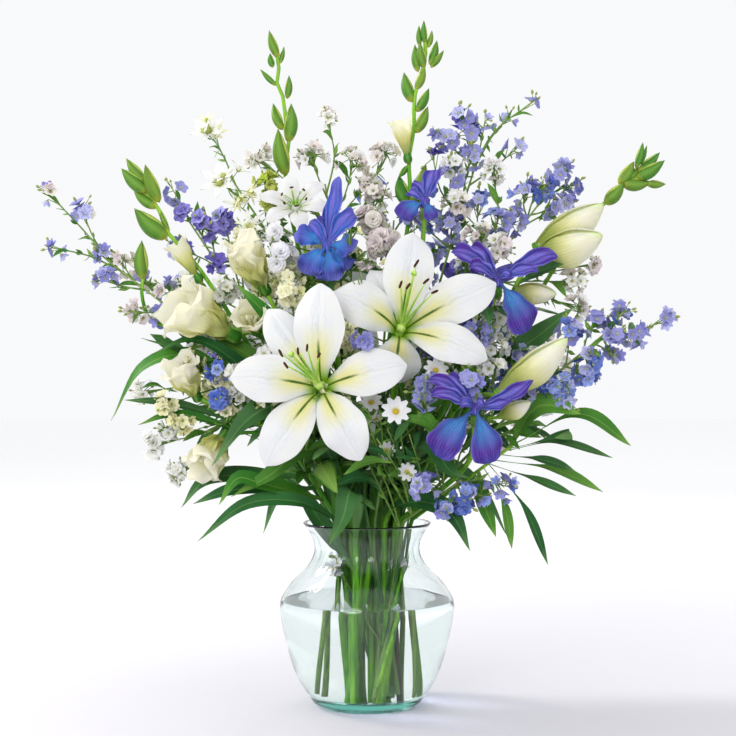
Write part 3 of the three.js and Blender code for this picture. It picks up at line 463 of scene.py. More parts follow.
def grow_stems(form, look, paths, sides=8):
    """Stems given as (points, thickness at the root, thickness at the tip, tint)."""
    points = []
    edges = []
    girths = []
    tints = []
    for path, thick, thin, tint in paths:
        first = len(points)
        points.extend(path * MM)
        edges.extend((first + k, first + k + 1) for k in range(len(path) - 1))
        girths.extend(np.linspace(thick, thin, len(path)) * MM)
        tints.extend([tint] * len(path))
    mesh = bpy.data.meshes.new("paths")
    mesh.from_pydata(points, edges, [])
    for label, values in (("girth", girths), ("tint", tints)):
        mesh.attributes.new(label, "FLOAT", "POINT").data.foreach_set("value", values)
    form.take(STEMS.grow(mesh, Sides=sides, Look=look), look)


def grow_florets(form, look, shape, heads, seed):
    """Florets given as (centre, facing, size, tint)."""
    if not heads:
        return
    centres, facings, sizes, tints = zip(*heads)
    mesh = bpy.data.meshes.new("heads")
    mesh.from_pydata([centre * MM for centre in centres], [], [])
    facing = np.array([unit(way) for way in facings], np.float32)
    mesh.attributes.new("facing", "FLOAT_VECTOR", "POINT").data.foreach_set("vector", facing.ravel())
    for label, values in (("size", sizes), ("tint", tints)):
        mesh.attributes.new(label, "FLOAT", "POINT").data.foreach_set("value", values)
    form.take(FLORETS.grow(mesh, Floret=shape, Size=1.0, Seed=seed, Look=look), look)


# ---- Looks ----

class Look(Nodes):
    """A finish, with short calls for the few nodes that it needs."""

    def __init__(self, name, roughness=0.5, specular=0.5):
        self.material = bpy.data.materials.new(name)
        self.material.use_nodes = True
        super().__init__(self.material.node_tree)
        self.shader = self.tree.nodes["Principled BSDF"]
        self.set("Roughness", roughness)
        self.set("Specular IOR Level", specular)

    def set(self, label, value):
        self.fill(self.shader.inputs[label], value)

    def place(self):
        """Across the petal from -1 to 1, along it from 0 to 1, and its face, 1 or -1."""
        stored = self.node("ShaderNodeAttribute", attribute_name="place")
        split = self.node("ShaderNodeSeparateXYZ", {0: stored.outputs["Vector"]})
        return split.outputs[0], split.outputs[1], split.outputs[2]

    def tint(self):
        return self.node("ShaderNodeAttribute", attribute_name="tint").outputs["Fac"]

    def math(self, operation, a, b=0.0, c=0.0):
        return self.node("ShaderNodeMath", {0: a, 1: b, 2: c}, operation=operation).outputs[0]

    def mix(self, share, a, b):
        made = self.node("ShaderNodeMix", data_type="RGBA", clamp_factor=True)
        for k, value in ((0, share), (6, a), (7, b)):
            self.fill(made.inputs[k], (*value, 1.0) if isinstance(value, tuple) else value)
        return made.outputs[2]

    def scale(self, a, b):
        return self.math("MULTIPLY", a, b)

    def ramp(self, value, stops):
        """Colours or greys along a value, from (place, colour) stops."""
        made = self.node("ShaderNodeValToRGB", {0: value})
        line = made.color_ramp
        while len(line.elements) < len(stops):
            line.elements.new(0.5)
        for element, (place, colour) in zip(line.elements, stops):
            element.position = place
            shade = colour if isinstance(colour, tuple) else (colour, colour, colour)
            element.color = (*shade, 1.0)
        return made.outputs[0]

    def stain(self, skin, value, stops, colour):
        """The skin with a colour laid over it as far as a value's stops say."""
        return self.mix(self.ramp(value, stops), skin, colour)

    def noise(self, scale, stretch=(1.0, 1.0, 1.0), detail=2.0, by_place=False):
        if by_place:
            source = self.node("ShaderNodeAttribute", attribute_name="place").outputs["Vector"]
        else:
            source = self.node("ShaderNodeTexCoord").outputs["Object"]
        placed = self.node("ShaderNodeMapping", {"Vector": source, "Scale": stretch}).outputs[0]
        made = self.node("ShaderNodeTexNoise", {"Vector": placed, "Scale": scale, "Detail": detail})
        return made.outputs[0]

    def glow(self, share, colour):
        """Lets a share of the light through, as thin petals and leaves do."""
        through = self.node("ShaderNodeBsdfTranslucent", {"Color": colour}).outputs[0]
        joined = self.node("ShaderNodeMixShader", {0: share, 1: self.shader.outputs[0], 2: through})
        self.fill(self.tree.nodes["Material Output"].inputs["Surface"], joined.outputs[0])

    def bump(self, height, strength, distance=0.0005):
        made = self.node("ShaderNodeBump", {"Height": height, "Strength": strength, "Distance": distance})
        self.set("Normal", made.outputs[0])

    def veins(self, across, number, wander=0.06):
        """Fine lines along a petal or leaf, closer together at its root, from 0 to 1."""
        drift = self.scale(self.noise(3.0, (1, 2.5, 1), by_place=True), wander)
        shifted = self.math("ADD", across, drift)
        waves = self.math("SINE", self.scale(shifted, number))
        return self.math("MULTIPLY_ADD", waves, 0.5, 0.5)

    def done(self, skin, relief, strength, glow=0.0):
        """The material, with its colour, its relief and the share of light that it lets through."""
        self.set("Base Color", skin)
        if glow:
            self.glow(glow, skin)
        self.bump(relief, strength)
        return self.material


def stem_look(name, light, dark, tip):
    look = Look(name, roughness=0.5, specular=0.25)
    _, along, _ = look.place()
    streaks = look.noise(260.0, (1, 1, 0.05), 3.0)
    skin = look.stain(dark, streaks, [(0.35, 0.0), (0.68, 1.0)], light)
    skin = look.stain(skin, look.noise(22.0, (1, 1, 0.5)), [(0.45, 0.0), (0.75, 0.55)], tip)
    skin = look.stain(skin, along, [(0.75, 0.0), (1.0, 0.6)], tip)
    # Painted shade: the stem darkens from about the neck up into the crowded heart of the bouquet, and stays
    # brighter lower down in the water.
    skin = look.stain(skin, along, [(0.36, 0.0), (0.46, 0.65), (0.66, 0.55), (0.82, 0.0)], dark)
    skin = look.mix(look.tint(), skin, dark)
    return look.done(skin, streaks, 0.3)


def leaf_look(name, deep, fresh, pale):
    look = Look(name, roughness=0.48, specular=0.2)
    across, along, face = look.place()
    veins = look.veins(across, 44.0)
    blade = look.stain(deep, look.noise(18.0, detail=3.0), [(0.35, 0.0), (0.75, 0.8)], fresh)
    blade = look.mix(look.scale(look.tint(), 0.7), blade, pale)
    blade = look.mix(look.scale(veins, 0.28), blade, deep)
    blade = look.stain(blade, along, [(0.0, 0.5), (0.25, 0.0), (0.85, 0.0), (1.0, 0.45)], pale)
    off_middle = look.math("ABSOLUTE", across)
    blade = look.stain(blade, off_middle, [(0.0, 0.5), (0.05, 0.2), (0.1, 0.0)], pale)
    blade = look.stain(blade, face, [(0.0, 0.45), (0.5, 0.0)], pale)
    look.glow(0.18, look.mix(0.5, blade, pale))
    return look.done(blade, veins, 0.35)


def lily_look(name, shade, glow):
    """White petals with a green furrow, a yellow glow at the throat and fine ribs, and with painted blue-grey
    shade in soft patches and along the outer part of the midrib.
    """
    look = Look(name, roughness=0.42, specular=0.35)
    across, along, _ = look.place()
    off_middle = look.math("ABSOLUTE", across)
    ribs = look.veins(across, 25.0, 0.55)
    # Painted shade: blue-grey in broad soft patches and in finer mottling over the white.
    painted_light_patches = look.noise(1.1, (1, 0.5, 1), 1.0, by_place=True)
    skin = look.stain((0.86, 0.86, 0.845), painted_light_patches, [(0.42, 0.0), (0.7, 0.75)], shade)
    skin = look.stain(skin, look.noise(26.0), [(0.38, 0.0), (0.72, 0.35)], shade)
    middle = look.ramp(off_middle, [(0.05, 1.0), (0.5, 0.22), (1.0, 0.1)])
    lines = look.scale(look.math("POWER", ribs, 3.0), middle)
    lines = look.scale(lines, look.ramp(along, [(0.2, 0.75), (0.95, 0.1)]))
    skin = look.mix(lines, skin, (0.62, 0.66, 0.72))
    narrow = look.ramp(off_middle, [(0.0, 1.0), (0.3, 0.75), (0.75, 0.1), (1.0, 0.0)])
    throat = look.ramp(along, [(0.16, 1.0), (0.4, 0.8), (0.62, 0.0)])
    skin = look.mix(look.scale(look.scale(narrow, throat), glow), skin, (0.86, 0.80, 0.13))
    skin = look.stain(skin, along, [(0.1, 1.0), (0.25, 0.0)], (0.30, 0.56, 0.02))
    drift = look.scale(look.noise(14.0, (1, 3, 1), by_place=True), 0.05)
    taper = look.math("MULTIPLY_ADD", along, 0.26, look.math("ADD", off_middle, drift))
    furrow = look.ramp(taper, [(0.13, 1.0), (0.17, 0.85), (0.21, 0.0)])
    reach = look.ramp(along, [(0.1, 0.8), (0.36, 1.0), (0.42, 0.8), (0.5, 0.0)])
    skin = look.mix(look.scale(furrow, reach), skin, (0.03, 0.13, 0.006))
    # Painted shade: a grey line along the midrib in the outer half of the petal, where the groove runs.
    crease_shade = look.scale(look.ramp(off_middle, [(0.0, 0.35), (0.04, 0.0)]),
                        look.ramp(along, [(0.4, 0.0), (0.5, 1.0)]))
    skin = look.mix(crease_shade, skin, (0.6, 0.64, 0.62))
    return look.done(skin, ribs, 0.2, glow=0.25)


def iris_look(name, blaze, lilac):
    """Velvet petals, purple to blue by tint, with dark veins, a bright blaze at the root and painted
    highlights in lighter blue-violet patches.
    """
    look = Look(name, roughness=0.6, specular=0.1)
    across, along, face = look.place()
    purple = look.ramp(along, [(0.1, (0.02, 0.016, 0.17)), (0.5, (0.05, 0.024, 0.27)),
                               (0.8, (0.11, 0.03, 0.32)), (1.0, (0.055, 0.035, 0.32))])
    blue = look.ramp(along, [(0.1, (0.012, 0.07, 0.4)), (0.5, (0.035, 0.14, 0.62)),
                             (0.8, (0.09, 0.12, 0.56)), (1.0, (0.2, 0.24, 0.72))])
    skin = look.mix(look.tint(), purple, blue)
    off_middle = look.math("ABSOLUTE", across)
    veins = look.veins(across, 36.0, 0.3)
    lines = look.ramp(veins, [(0.58, 0.0), (0.95, 1.0)])
    fan = look.ramp(along, [(0.22, 0.7), (0.4, 1.0), (0.62, 0.55), (0.8, 0.0)])
    spread = look.ramp(off_middle, [(0.35, 1.0), (0.95, 0.1)])
    bright = look.scale(look.scale(fan, spread), blaze)
    streaked = look.scale(bright, look.math("MULTIPLY_ADD", lines, 0.75, 0.35))
    skin = look.mix(streaked, skin, (0.07, 0.46, 0.85))
    skin = look.stain(skin, look.noise(45.0), [(0.5, 0.0), (0.8, 0.3)], (0.012, 0.01, 0.12))
    # Painted highlight: lighter blue-violet patches, as strong as the lilac share says, strongest on the
    # standards.
    painted_light_patches = look.noise(2.2, (1, 0.8, 1), 1.0, by_place=True)
    skin = look.stain(skin, painted_light_patches, [(0.38, 0.0), (0.58, lilac)], (0.25, 0.21, 0.76))
    dark_lines = look.scale(lines, look.ramp(along, [(0.3, 0.15), (0.75, 0.45)]))
    skin = look.mix(dark_lines, skin, (0.012, 0.01, 0.1))
    skin = look.stain(skin, off_middle, [(0.9, 0.0), (1.0, 0.4)], (0.36, 0.35, 0.8))
    skin = look.stain(skin, face, [(0.0, 0.3), (0.5, 0.0)], (0.12, 0.1, 0.5))
    return look.done(skin, veins, 0.4, glow=0.2)


def cream_look(name, heart, rim):
    """Soft petals, with a yellow-green heart and a paler rim; tint turns them whiter."""
    look = Look(name, roughness=0.5, specular=0.3)
    across, along, _ = look.place()
    veins = look.veins(across, 36.0, 0.2)
    skin = look.ramp(along, [(0.16, heart), (0.46, (0.86, 0.85, 0.32)), (0.76, rim), (1.0, rim)])
    whiter = look.scale(look.tint(), look.ramp(along, [(0.3, 0.0), (0.7, 1.0)]))
    skin = look.mix(whiter, skin, (0.96, 0.95, 0.91))
    skin = look.stain(skin, look.noise(30.0, detail=3.0), [(0.45, 0.0), (0.8, 0.5)], (0.93, 0.9, 0.66))
    skin = look.mix(look.scale(veins, 0.12), skin, (0.86, 0.84, 0.54))
    low = look.ramp(along, [(0.3, 0.7), (0.7, 0.0)])
    low_veins = look.scale(look.ramp(veins, [(0.5, 0.0), (0.9, 1.0)]), low)
    skin = look.mix(low_veins, skin, (0.7, 0.72, 0.26))
    return look.done(skin, veins, 0.3, glow=0.55)


def bud_look(name, root, body, tip, seam):
    """A closed bud, with darker seams between its petals."""
    look = Look(name, roughness=0.5, specular=0.2)
    closeness, along, _ = look.place()
    skin = look.ramp(along, [(0.02, root), (0.22, body), (0.78, body), (0.98, tip)])
    streaks = look.noise(90.0, detail=3.0)
    skin = look.stain(skin, streaks, [(0.4, 0.0), (0.8, 0.35)], tip)
    skin = look.mix(look.scale(look.ramp(closeness, [(0.25, 0.0), (1.0, 1.0)]), 0.75), skin, seam)
    skin = look.mix(look.tint(), skin, root)
    look.set("Subsurface Weight", 0.1)
    look.set("Subsurface Scale", 0.004)
    return look.done(skin, streaks, 0.15)


def floret_look(name, heart, petal, other, glow=0.3):
    """Small soft petals about a heart; tint turns one colour into the other."""
    look = Look(name, roughness=0.6, specular=0.12)
    across, along, _ = look.place()
    patch = look.noise(120.0)
    skin = look.mix(look.tint(), petal, other)
    skin = look.stain(skin, patch, [(0.4, 0.0), (0.8, 0.4)], other)
    skin = look.stain(skin, look.math("ABSOLUTE", across), [(0.0, 0.5), (0.4, 0.0)], petal)
    skin = look.stain(skin, along, [(0.1, 1.0), (0.36, 0.0)], heart)
    return look.done(skin, patch, 0.2, glow=glow)


def anther_look():
    look = Look("pollen_brown", roughness=0.85, specular=0.1)
    grain = look.noise(900.0, detail=3.0)
    return look.done(look.mix(grain, (0.035, 0.012, 0.012), (0.11, 0.04, 0.025)), grain, 0.6)


def clear_look(name, tone, ior, shade, depth=None):
    """Clear glass or water, with a soft lilac shadow; a depth colour shows where it is thick."""
    look = Look(name, roughness=0.0, specular=0.5)
    ripple = look.noise(9.0, (1, 1, 2.5), 1.0)
    look.set("Base Color", look.mix(ripple, tone, (1.0, 1.0, 1.0)))
    look.set("Transmission Weight", 1.0)
    look.set("IOR", ior)
    passing = look.node("ShaderNodeLightPath").outputs["Is Shadow Ray"]
    veil = look.node("ShaderNodeBsdfTransparent", {"Color": (*shade, 1.0)}).outputs[0]
    joined = look.node("ShaderNodeMixShader", {0: passing, 1: look.shader.outputs[0], 2: veil})
    ends = look.tree.nodes["Material Output"].inputs
    look.fill(ends["Surface"], joined.outputs[0])
    if depth:
        thick = look.node("ShaderNodeVolumeAbsorption", {"Color": (*depth, 1.0), "Density": 20.0})
        look.fill(ends["Volume"], thick.outputs[0])
    return look.material


GREEN_STEM = stem_look("stem_green", (0.24, 0.62, 0.02), (0.03, 0.18, 0.006), (0.5, 0.78, 0.08))
TWIG = stem_look("twig_green", (0.24, 0.42, 0.08), (0.08, 0.18, 0.03), (0.42, 0.52, 0.16))
BROWN_STEM = stem_look("stem_brown", (0.13, 0.1, 0.045), (0.05, 0.03, 0.025), (0.2, 0.25, 0.06))
LEAF = leaf_look("leaf_green", (0.01, 0.08, 0.022), (0.042, 0.23, 0.048), (0.24, 0.46, 0.13))
FRESH_LEAF = leaf_look("leaf_fresh", (0.025, 0.17, 0.015), (0.11, 0.38, 0.035), (0.40, 0.60, 0.13))
# A lily look's first colour is its painted blue-grey shade.
LILY = lily_look("lily_white", (0.74, 0.77, 0.85), 0.9)
STAR = lily_look("star_white", (0.82, 0.8, 0.88), 0.3)
# The last value is the share of the painted blue-violet highlight.
FALL = iris_look("iris_fall", 1.0, 0.25)
STANDARD = iris_look("iris_standard", 0.2, 0.9)
CREAM = cream_look("cream_petal", (0.36, 0.5, 0.04), (0.98, 0.97, 0.86))
BUD = bud_look("bud_skin", (0.2, 0.36, 0.06), (0.87, 0.87, 0.72), (0.62, 0.7, 0.3), (0.42, 0.54, 0.2))
SHEATH = bud_look("spike_sheath", (0.46, 0.44, 0.05), (0.04, 0.19, 0.02), (0.015, 0.1, 0.012),
                  (0.13, 0.32, 0.04))
MARGIN = bud_look("spike_margin", (0.6, 0.48, 0.06), (0.36, 0.47, 0.08), (0.14, 0.32, 0.05),
                  (0.66, 0.66, 0.24))
SEED = bud_look("small_bud", (0.16, 0.24, 0.04), (0.36, 0.42, 0.12), (0.56, 0.54, 0.3), (0.2, 0.24, 0.07))
LILAC = floret_look("floret_lilac", (0.6, 0.62, 0.4), (0.27, 0.27, 0.68), (0.66, 0.68, 0.92))
BLUE = floret_look("floret_blue", (0.62, 0.62, 0.5), (0.06, 0.13, 0.56), (0.42, 0.52, 0.9))
VIOLET = floret_look("floret_violet", (0.16, 0.1, 0.3), (0.08, 0.05, 0.45), (0.42, 0.38, 0.84))
WHITE = floret_look("floret_white", (0.66, 0.7, 0.26), (0.95, 0.95, 0.98), (0.98, 0.98, 0.94), 0.48)
BLUSH = floret_look("floret_blush", (0.42, 0.42, 0.14), (0.86, 0.78, 0.8), (0.95, 0.93, 0.86), 0.35)
LIME = floret_look("floret_lime", (0.3, 0.42, 0.03), (0.52, 0.66, 0.06), (0.78, 0.8, 0.26))
CREAMY = floret_look("floret_creamy", (0.5, 0.58, 0.1), (0.93, 0.91, 0.58), (0.97, 0.96, 0.82), 0.35)
DAISY = floret_look("daisy_white", (0.8, 0.62, 0.04), (0.95, 0.95, 0.97), (0.96, 0.96, 0.97))
FILAMENT = stem_look("filament_green", (0.4, 0.66, 0.08), (0.2, 0.45, 0.03), (0.66, 0.74, 0.26))
POLLEN = anther_look()
GLASS = clear_look("vase_glass", (0.985, 1.0, 0.995), 1.38, (0.72, 0.72, 0.79), (0.12, 0.7, 0.62))
WATER = clear_look("water_clear", (0.985, 0.995, 0.99), 1.33, (0.8, 0.81, 0.87))


# ---- Small flowers and buds that repeat ----

PETAL = [(0, 0.14), (0.2, 0.42), (0.4, 0.82), (0.6, 1), (0.78, 0.9), (0.9, 0.62), (0.97, 0.3), (1, 0.02)]
LILY_PETAL = [(0, 0.16), (0.2, 0.42), (0.4, 0.84), (0.56, 1), (0.74, 0.92), (0.87, 0.66), (0.95, 0.4),
              (1, 0.08)]
LEAF_OUTLINE = [(0, 0.16), (0.18, 0.42), (0.4, 0.92), (0.55, 1), (0.8, 0.62), (0.93, 0.24), (1, 0.01)]
STALKED = [(0, 0.1), (0.3, 0.1), (0.42, 0.3), (0.55, 0.8), (0.7, 1), (0.87, 0.66), (1, 0.02)]
ROUND_PETAL = [(0, 0.14), (0.2, 0.3), (0.4, 0.66), (0.62, 1), (0.82, 0.94), (0.94, 0.6), (1, 0.08)]
FALL_PETAL = [(0, 0.1), (0.2, 0.16), (0.34, 0.44), (0.5, 0.8), (0.68, 0.98), (0.84, 1), (0.95, 0.82),
              (1, 0.42)]
SWORD = [(0, 0.6), (0.2, 0.9), (0.5, 1), (0.8, 0.62), (1, 0.01)]
TEARDROP = [(0, 0.28), (0.18, 0.7), (0.4, 1), (0.62, 0.86), (0.82, 0.5), (1, 0.04)]
LILY_BUD = [(0, 0.24), (0.14, 0.56), (0.32, 0.88), (0.5, 1), (0.7, 0.84), (0.86, 0.52), (0.95, 0.26),
            (1, 0.04)]
TEPAL = [(0, 0.3), (0.14, 0.62), (0.34, 0.95), (0.52, 1), (0.72, 0.8), (0.88, 0.45), (0.96, 0.2), (1, 0.04)]
POD = [(0, 0.2), (0.15, 0.85), (0.5, 1), (0.85, 0.85), (1, 0.2)]
POINTED = [(0, 0.3), (0.14, 0.74), (0.34, 1), (0.58, 0.86), (0.8, 0.48), (0.93, 0.19), (1, 0.03)]
RUFFLED = [(0, 0.2), (0.3, 0.5), (0.6, 0.9), (0.85, 1), (1, 0.7)]
BLUNT = [(0, 0.2), (0.33, 0.72), (0.67, 1), (1, 0.42)]
SLIM = [(0, 0.3), (0.33, 0.8), (0.67, 1), (1, 0.1)]
BRACT_OUTLINE = [*BLUNT[:2], (1, 0.05)]


def template(name, form):
    made = linked(name, form.mesh(name))
    made.data.attributes.remove(made.data.attributes["tint"])
    return made


def small_flower(name, petals, half_width, rise, heart, outline, ruffle=0.0):
    """An open flower one millimetre in radius, facing +Z, to be set where it is wanted."""
    form = Form()
    for k in range(petals):
        angle = 2 * math.pi * k / petals
        out = spoke(angle)
        side = vec(out[1], -out[0], 0)
        spine = [out * 0.06 - UP * 0.25, out * 0.45 + UP * rise * 0.35, out * 0.8 + UP * rise * 0.9,
                 out + UP * rise]
        sheet(form, WHITE, spine, side, half_width, outline, rows=3, columns=2, cup=0.2,
              ruffle=ruffle, phase=k * 2.1, thickness=0.09)
    round_form(form, WHITE, [vec(0, 0, -0.3), vec(0, 0, heart)], 0.17, POD, sides=5, rings=2)
    form.places[-1][:, 1] = 0.0
    return template(name, form)


def small_bud(name, spine, radius, sides, rings, outline):
    form = Form()
    round_form(form, SEED, spine, radius, outline, sides=sides, rings=rings, seams=3, seam=0.12)
    return template(name, form)


def bract(name):
    form = Form()
    spine = [vec(0, 0, 0), vec(0.12, 0, 0.5), vec(0.4, 0, 1)]
    sheet(form, FRESH_LEAF, spine, vec(0, 1, 0), 0.24, BRACT_OUTLINE, rows=4, columns=2, cup=0.3,
          thickness=0.06)
    return template(name, form)


def ruff(name):
    """A full double flower one millimetre in radius, with crinkled petals in three rounds."""
    form = Form()
    for level, (count, reach, rise) in enumerate([(7, 1.0, 0.15), (6, 0.74, 0.45), (4, 0.42, 0.62)]):
        for k in range(count):
            angle = 2 * math.pi * (k + level * 0.4) / count
            ray = spoke(angle)
            out = ray * reach
            side = vec(ray[1], -ray[0], 0)
            spine = [out * 0.05 - UP * 0.35, out * 0.5 + UP * rise * 0.5, out + UP * rise]
            sheet(form, WHITE, spine, side, 0.46 * reach + 0.06, RUFFLED, rows=5, columns=4, cup=0.15,
                  ruffle=0.3, waves=1.4, phase=k * 2.3 + level, thickness=0.06)
    return template(name, form)


FIVE_PETALS = small_flower("five_petals", 5, 0.5, 0.2, 0.1, BLUNT)
BELL = small_flower("bell", 5, 0.46, 0.85, 0.2, BLUNT)
FRILLED = small_flower("frilled", 6, 0.46, 0.45, 0.2, BLUNT, ruffle=0.35)
DAISY_HEAD = small_flower("daisy_head", 9, 0.25, 0.12, 0.1, BLUNT)
NARROW = small_flower("narrow_petals", 6, 0.17, 0.3, 0.3, SLIM)
CLOSED = small_bud("closed_bud", [vec(0, 0, -0.2), vec(0, 0, 1.6)], 0.55, 6, 3, TEARDROP)
RUFF = ruff("ruff")
BRACT = bract("bract")
TEMPLATES = (FIVE_PETALS, BELL, FRILLED, RUFF, DAISY_HEAD, NARROW, CLOSED, BRACT)


# ---- What grows where ----

Lily = namedtuple("Lily", "name centre axis petals anthers leaves")
Cream = namedtuple("Cream", "name centre axis radius turn open tint tilt long")
Iris = namedtuple("Iris", "name centre turn approach tint falls standards")
Spike = namedtuple("Spike", "name foot depth line buds opening stalks", defaults=(None, ()))
Spray = namedtuple("Spray", "name head via kind looks twigs")
Branch = namedtuple("Branch", "name head leaves")

# A lily's petals are (across, rise, back, half width) from its centre, and its last anther is the pistil.
# Leaves are (share of the stem that they leave from, places of the front view, half width), and the
# outline where it is another.
LILIES = [
    Lily("lily_left", front(-49, 320.5, -108), vec(-0.12, -0.97, 0.2),
         [(2, 94, 12, 24), (-48, 70, 24, 19), (-82, 6, 6, 23), (-49, -76, -4, 22),
          (40, -71, -4, 22), (83, 17, 10, 22)],
         [(-33, 28, -30), (-17, 30, -34), (-9, 33, -27), (-28, 17, -36), (2, 26, -31),
          (-22, 26, -44)],
         [(0.62, [(-60, 302, -64), (-112, 290, -78), (-155, 238, -84)], 15),
          (0.56, [(-60, 255, -70), (-98, 228, -84), (-136, 207, -88)], 12),
          (0.5, [(-67, 202, -74), (-120, 200, -84), (-170, 162, -90)], 8),
          (0.46, [(-17, 214, -72), (-24, 186, -80), (-38, 159, -78)], 12),
          (0.38, [(-54, 194, -22), (-64, 210, -28), (-82, 228, -34)], 9)]),
    Lily("lily_right", front(35, 379, -70), vec(0.08, -0.94, 0.3),
         [(11, 90, 20, 24), (91, 41, 14, 23), (81, -33, -4, 19.5), (-9, -57, 36, 25),
          (-66, 32, 6, 23), (-30, 54, 28, 15)],
         [(13, 57, -28), (-2, 37, -34), (5, 35, -40), (22, 40, -34), (30, 30, -32),
          (10, 46, -42)],
         [(0.62, [(62, 262, -66), (84, 232, -86), (102, 226, -94)], 14),
          (0.5, [(58, 202, -62), (84, 190, -72), (103, 153, -80)], 11),
          (0.7, [(64, 300, -44), (84, 320, -50), (96, 330, -52)], 12)]),
    Lily("lily_back_left", vec(-58, 96, 402), vec(-0.1, 0.93, 0.36),
         [(3, 84, -16, 22), (-76, 38, -8, 21), (-68, -44, 4, 21), (2, -80, 4, 21),
          (70, -40, -2, 21), (72, 40, -14, 20)],
         [(-20, 32, 32), (8, 38, 30), (26, 14, 32), (-24, 2, 36), (2, 20, 46)],
         [(0.66, [(-84, 300, 84), (-128, 284, 96), (-160, 240, 98)], 14),
          (0.55, [(-58, 236, 84), (-84, 216, 98), (-104, 170, 102)], 12)]),
    Lily("lily_back_right", vec(58, 104, 316), vec(0.14, 0.95, 0.26),
         [(3, 84, -14, 22), (-74, 36, -6, 21), (-68, -44, 4, 21), (2, -76, 4, 20),
          (70, -42, 0, 21), (74, 38, -12, 21)],
         [(-20, 32, 32), (8, 38, 30), (26, 14, 32), (-24, 2, 36), (2, 20, 46)],
         [(0.6, [(76, 236, 88), (112, 214, 96), (140, 168, 98)], 13),
          (0.5, [(30, 218, 84), (24, 196, 96), (20, 158, 98)], 11)]),
]

STAR_CENTRE = front(-72, 500, 8)
STAR_AXIS = vec(-0.05, -0.8, 0.6)
STAR_RADIUS = 38
STAR_LOBES = 6

CREAM_BLOOMS = [
    Cream("cream_bloom_top", front(-110, 426, -38), vec(-0.35, -0.75, 0.55),
          31, 0.3, 0.6, 0.5, vec(-0.42, -0.35, 0.85), 1.45),
    Cream("cream_bloom_upper", front(-148, 379, -46), vec(-0.5, -0.75, 0.4),
          39, 0.9, 0.84, 0.4, vec(-0.8, -0.4, 0.46), 1.35),
    Cream("cream_bloom_inner", front(-112, 378, -56), vec(-0.1, -0.95, 0.3),
          23, 0.1, 0.79, 0.6, vec(-0.2, -0.8, 0.55), 1.0),
    Cream("cream_bloom_middle", front(-182, 308, -52), vec(-0.6, -0.75, 0.1),
          26, 0.6, 0.78, 0.6, vec(-0.4, -0.45, 0.78), 1.3),
    Cream("cream_bloom_lower", front(-152, 264, -58), vec(-0.4, -0.85, -0.2),
          29, 0.2, 0.74, 0.5, vec(-0.45, -0.55, -0.7), 1.25),
]

# Petals are (across, rise, back, half width, lift of the middle) from the iris's centre.
IRISES = [
    Iris("iris_right_low", front(108, 296, -88), 1, vec(-4, 30, -52),
         0.12, [(-36, -44, -16, 16.5, 8), (13, -50, -16, 15.5, 8)],
         [(-44, 28, -6, 8, 6), (-26, 30, 12, 8, 4), (55, 27, -4, 8, -6), (-42, 12, -14, 7, 7),
          (34, 8, -14, 6, -3)]),
    Iris("iris_right_high", front(131, 424, -32), 1, vec(-20, 8, -60),
         0.15, [(27, -50, -14, 17, 8), (-16, -24, -6, 9, 3)],
         [(-46, 28, -4, 10, 6), (-26, 34, 14, 9, 4), (58, 24, -4, 9, 6), (-30, 12, -12, 8, 5),
          (38, 8, -12, 7, 5)]),
    Iris("iris_left_blue", front(-40, 458, -26), 1, vec(4, 16, -60),
         0.9, [(-32, 10, -12, 11, 4), (26, -4, -10, 13, 4), (-20, -28, -18, 13, 5),
               (4, -34, -12, 14, 5), (22, -22, -4, 10, 3)],
         [(12, 70, 4, 7.5, 0), (-8, 32, 8, 8, -8), (29, 30, 8, 10, 8), (-18, 22, 2, 7, 6),
          (2, 48, 10, 6, -5)]),
    Iris("iris_centre_deep", front(58, 503, -6), 1, vec(-4, 6, -60),
         0.3, [(-24, -18, -14, 11, 4), (6, -19, -14, 7, 3)],
         [(12, 32, 4, 9, 4), (-2, 20, 10, 9, 4), (-16, 10, 6, 8, 4)]),
    Iris("iris_back_right", vec(118, 78, 414), -1, vec(-8, -20, -56),
         0.1, [(-30, -42, 16, 18, 8), (24, -44, 16, 18, 8)],
         [(-42, 28, 4, 9, 6), (-4, 44, -8, 9, 4), (44, 26, 4, 9, 6)]),
]

LILY_BUDS = [
    ("lily_bud_big", [(front(130, 310, -58), front(201, 366, -70), 16)]),
    ("lily_bud_pair", [(front(168, 456, 2), front(237, 500, -6), 17.5),
                       (front(167, 447, -3), front(236, 469, -22), 19.5)]),
    ("lily_bud_small", [(front(146, 414, -4), front(190, 410, -12), 11)]),
    ("lily_bud_low", [(front(131, 287, -62), front(164, 302, -66), 8.5)]),
]

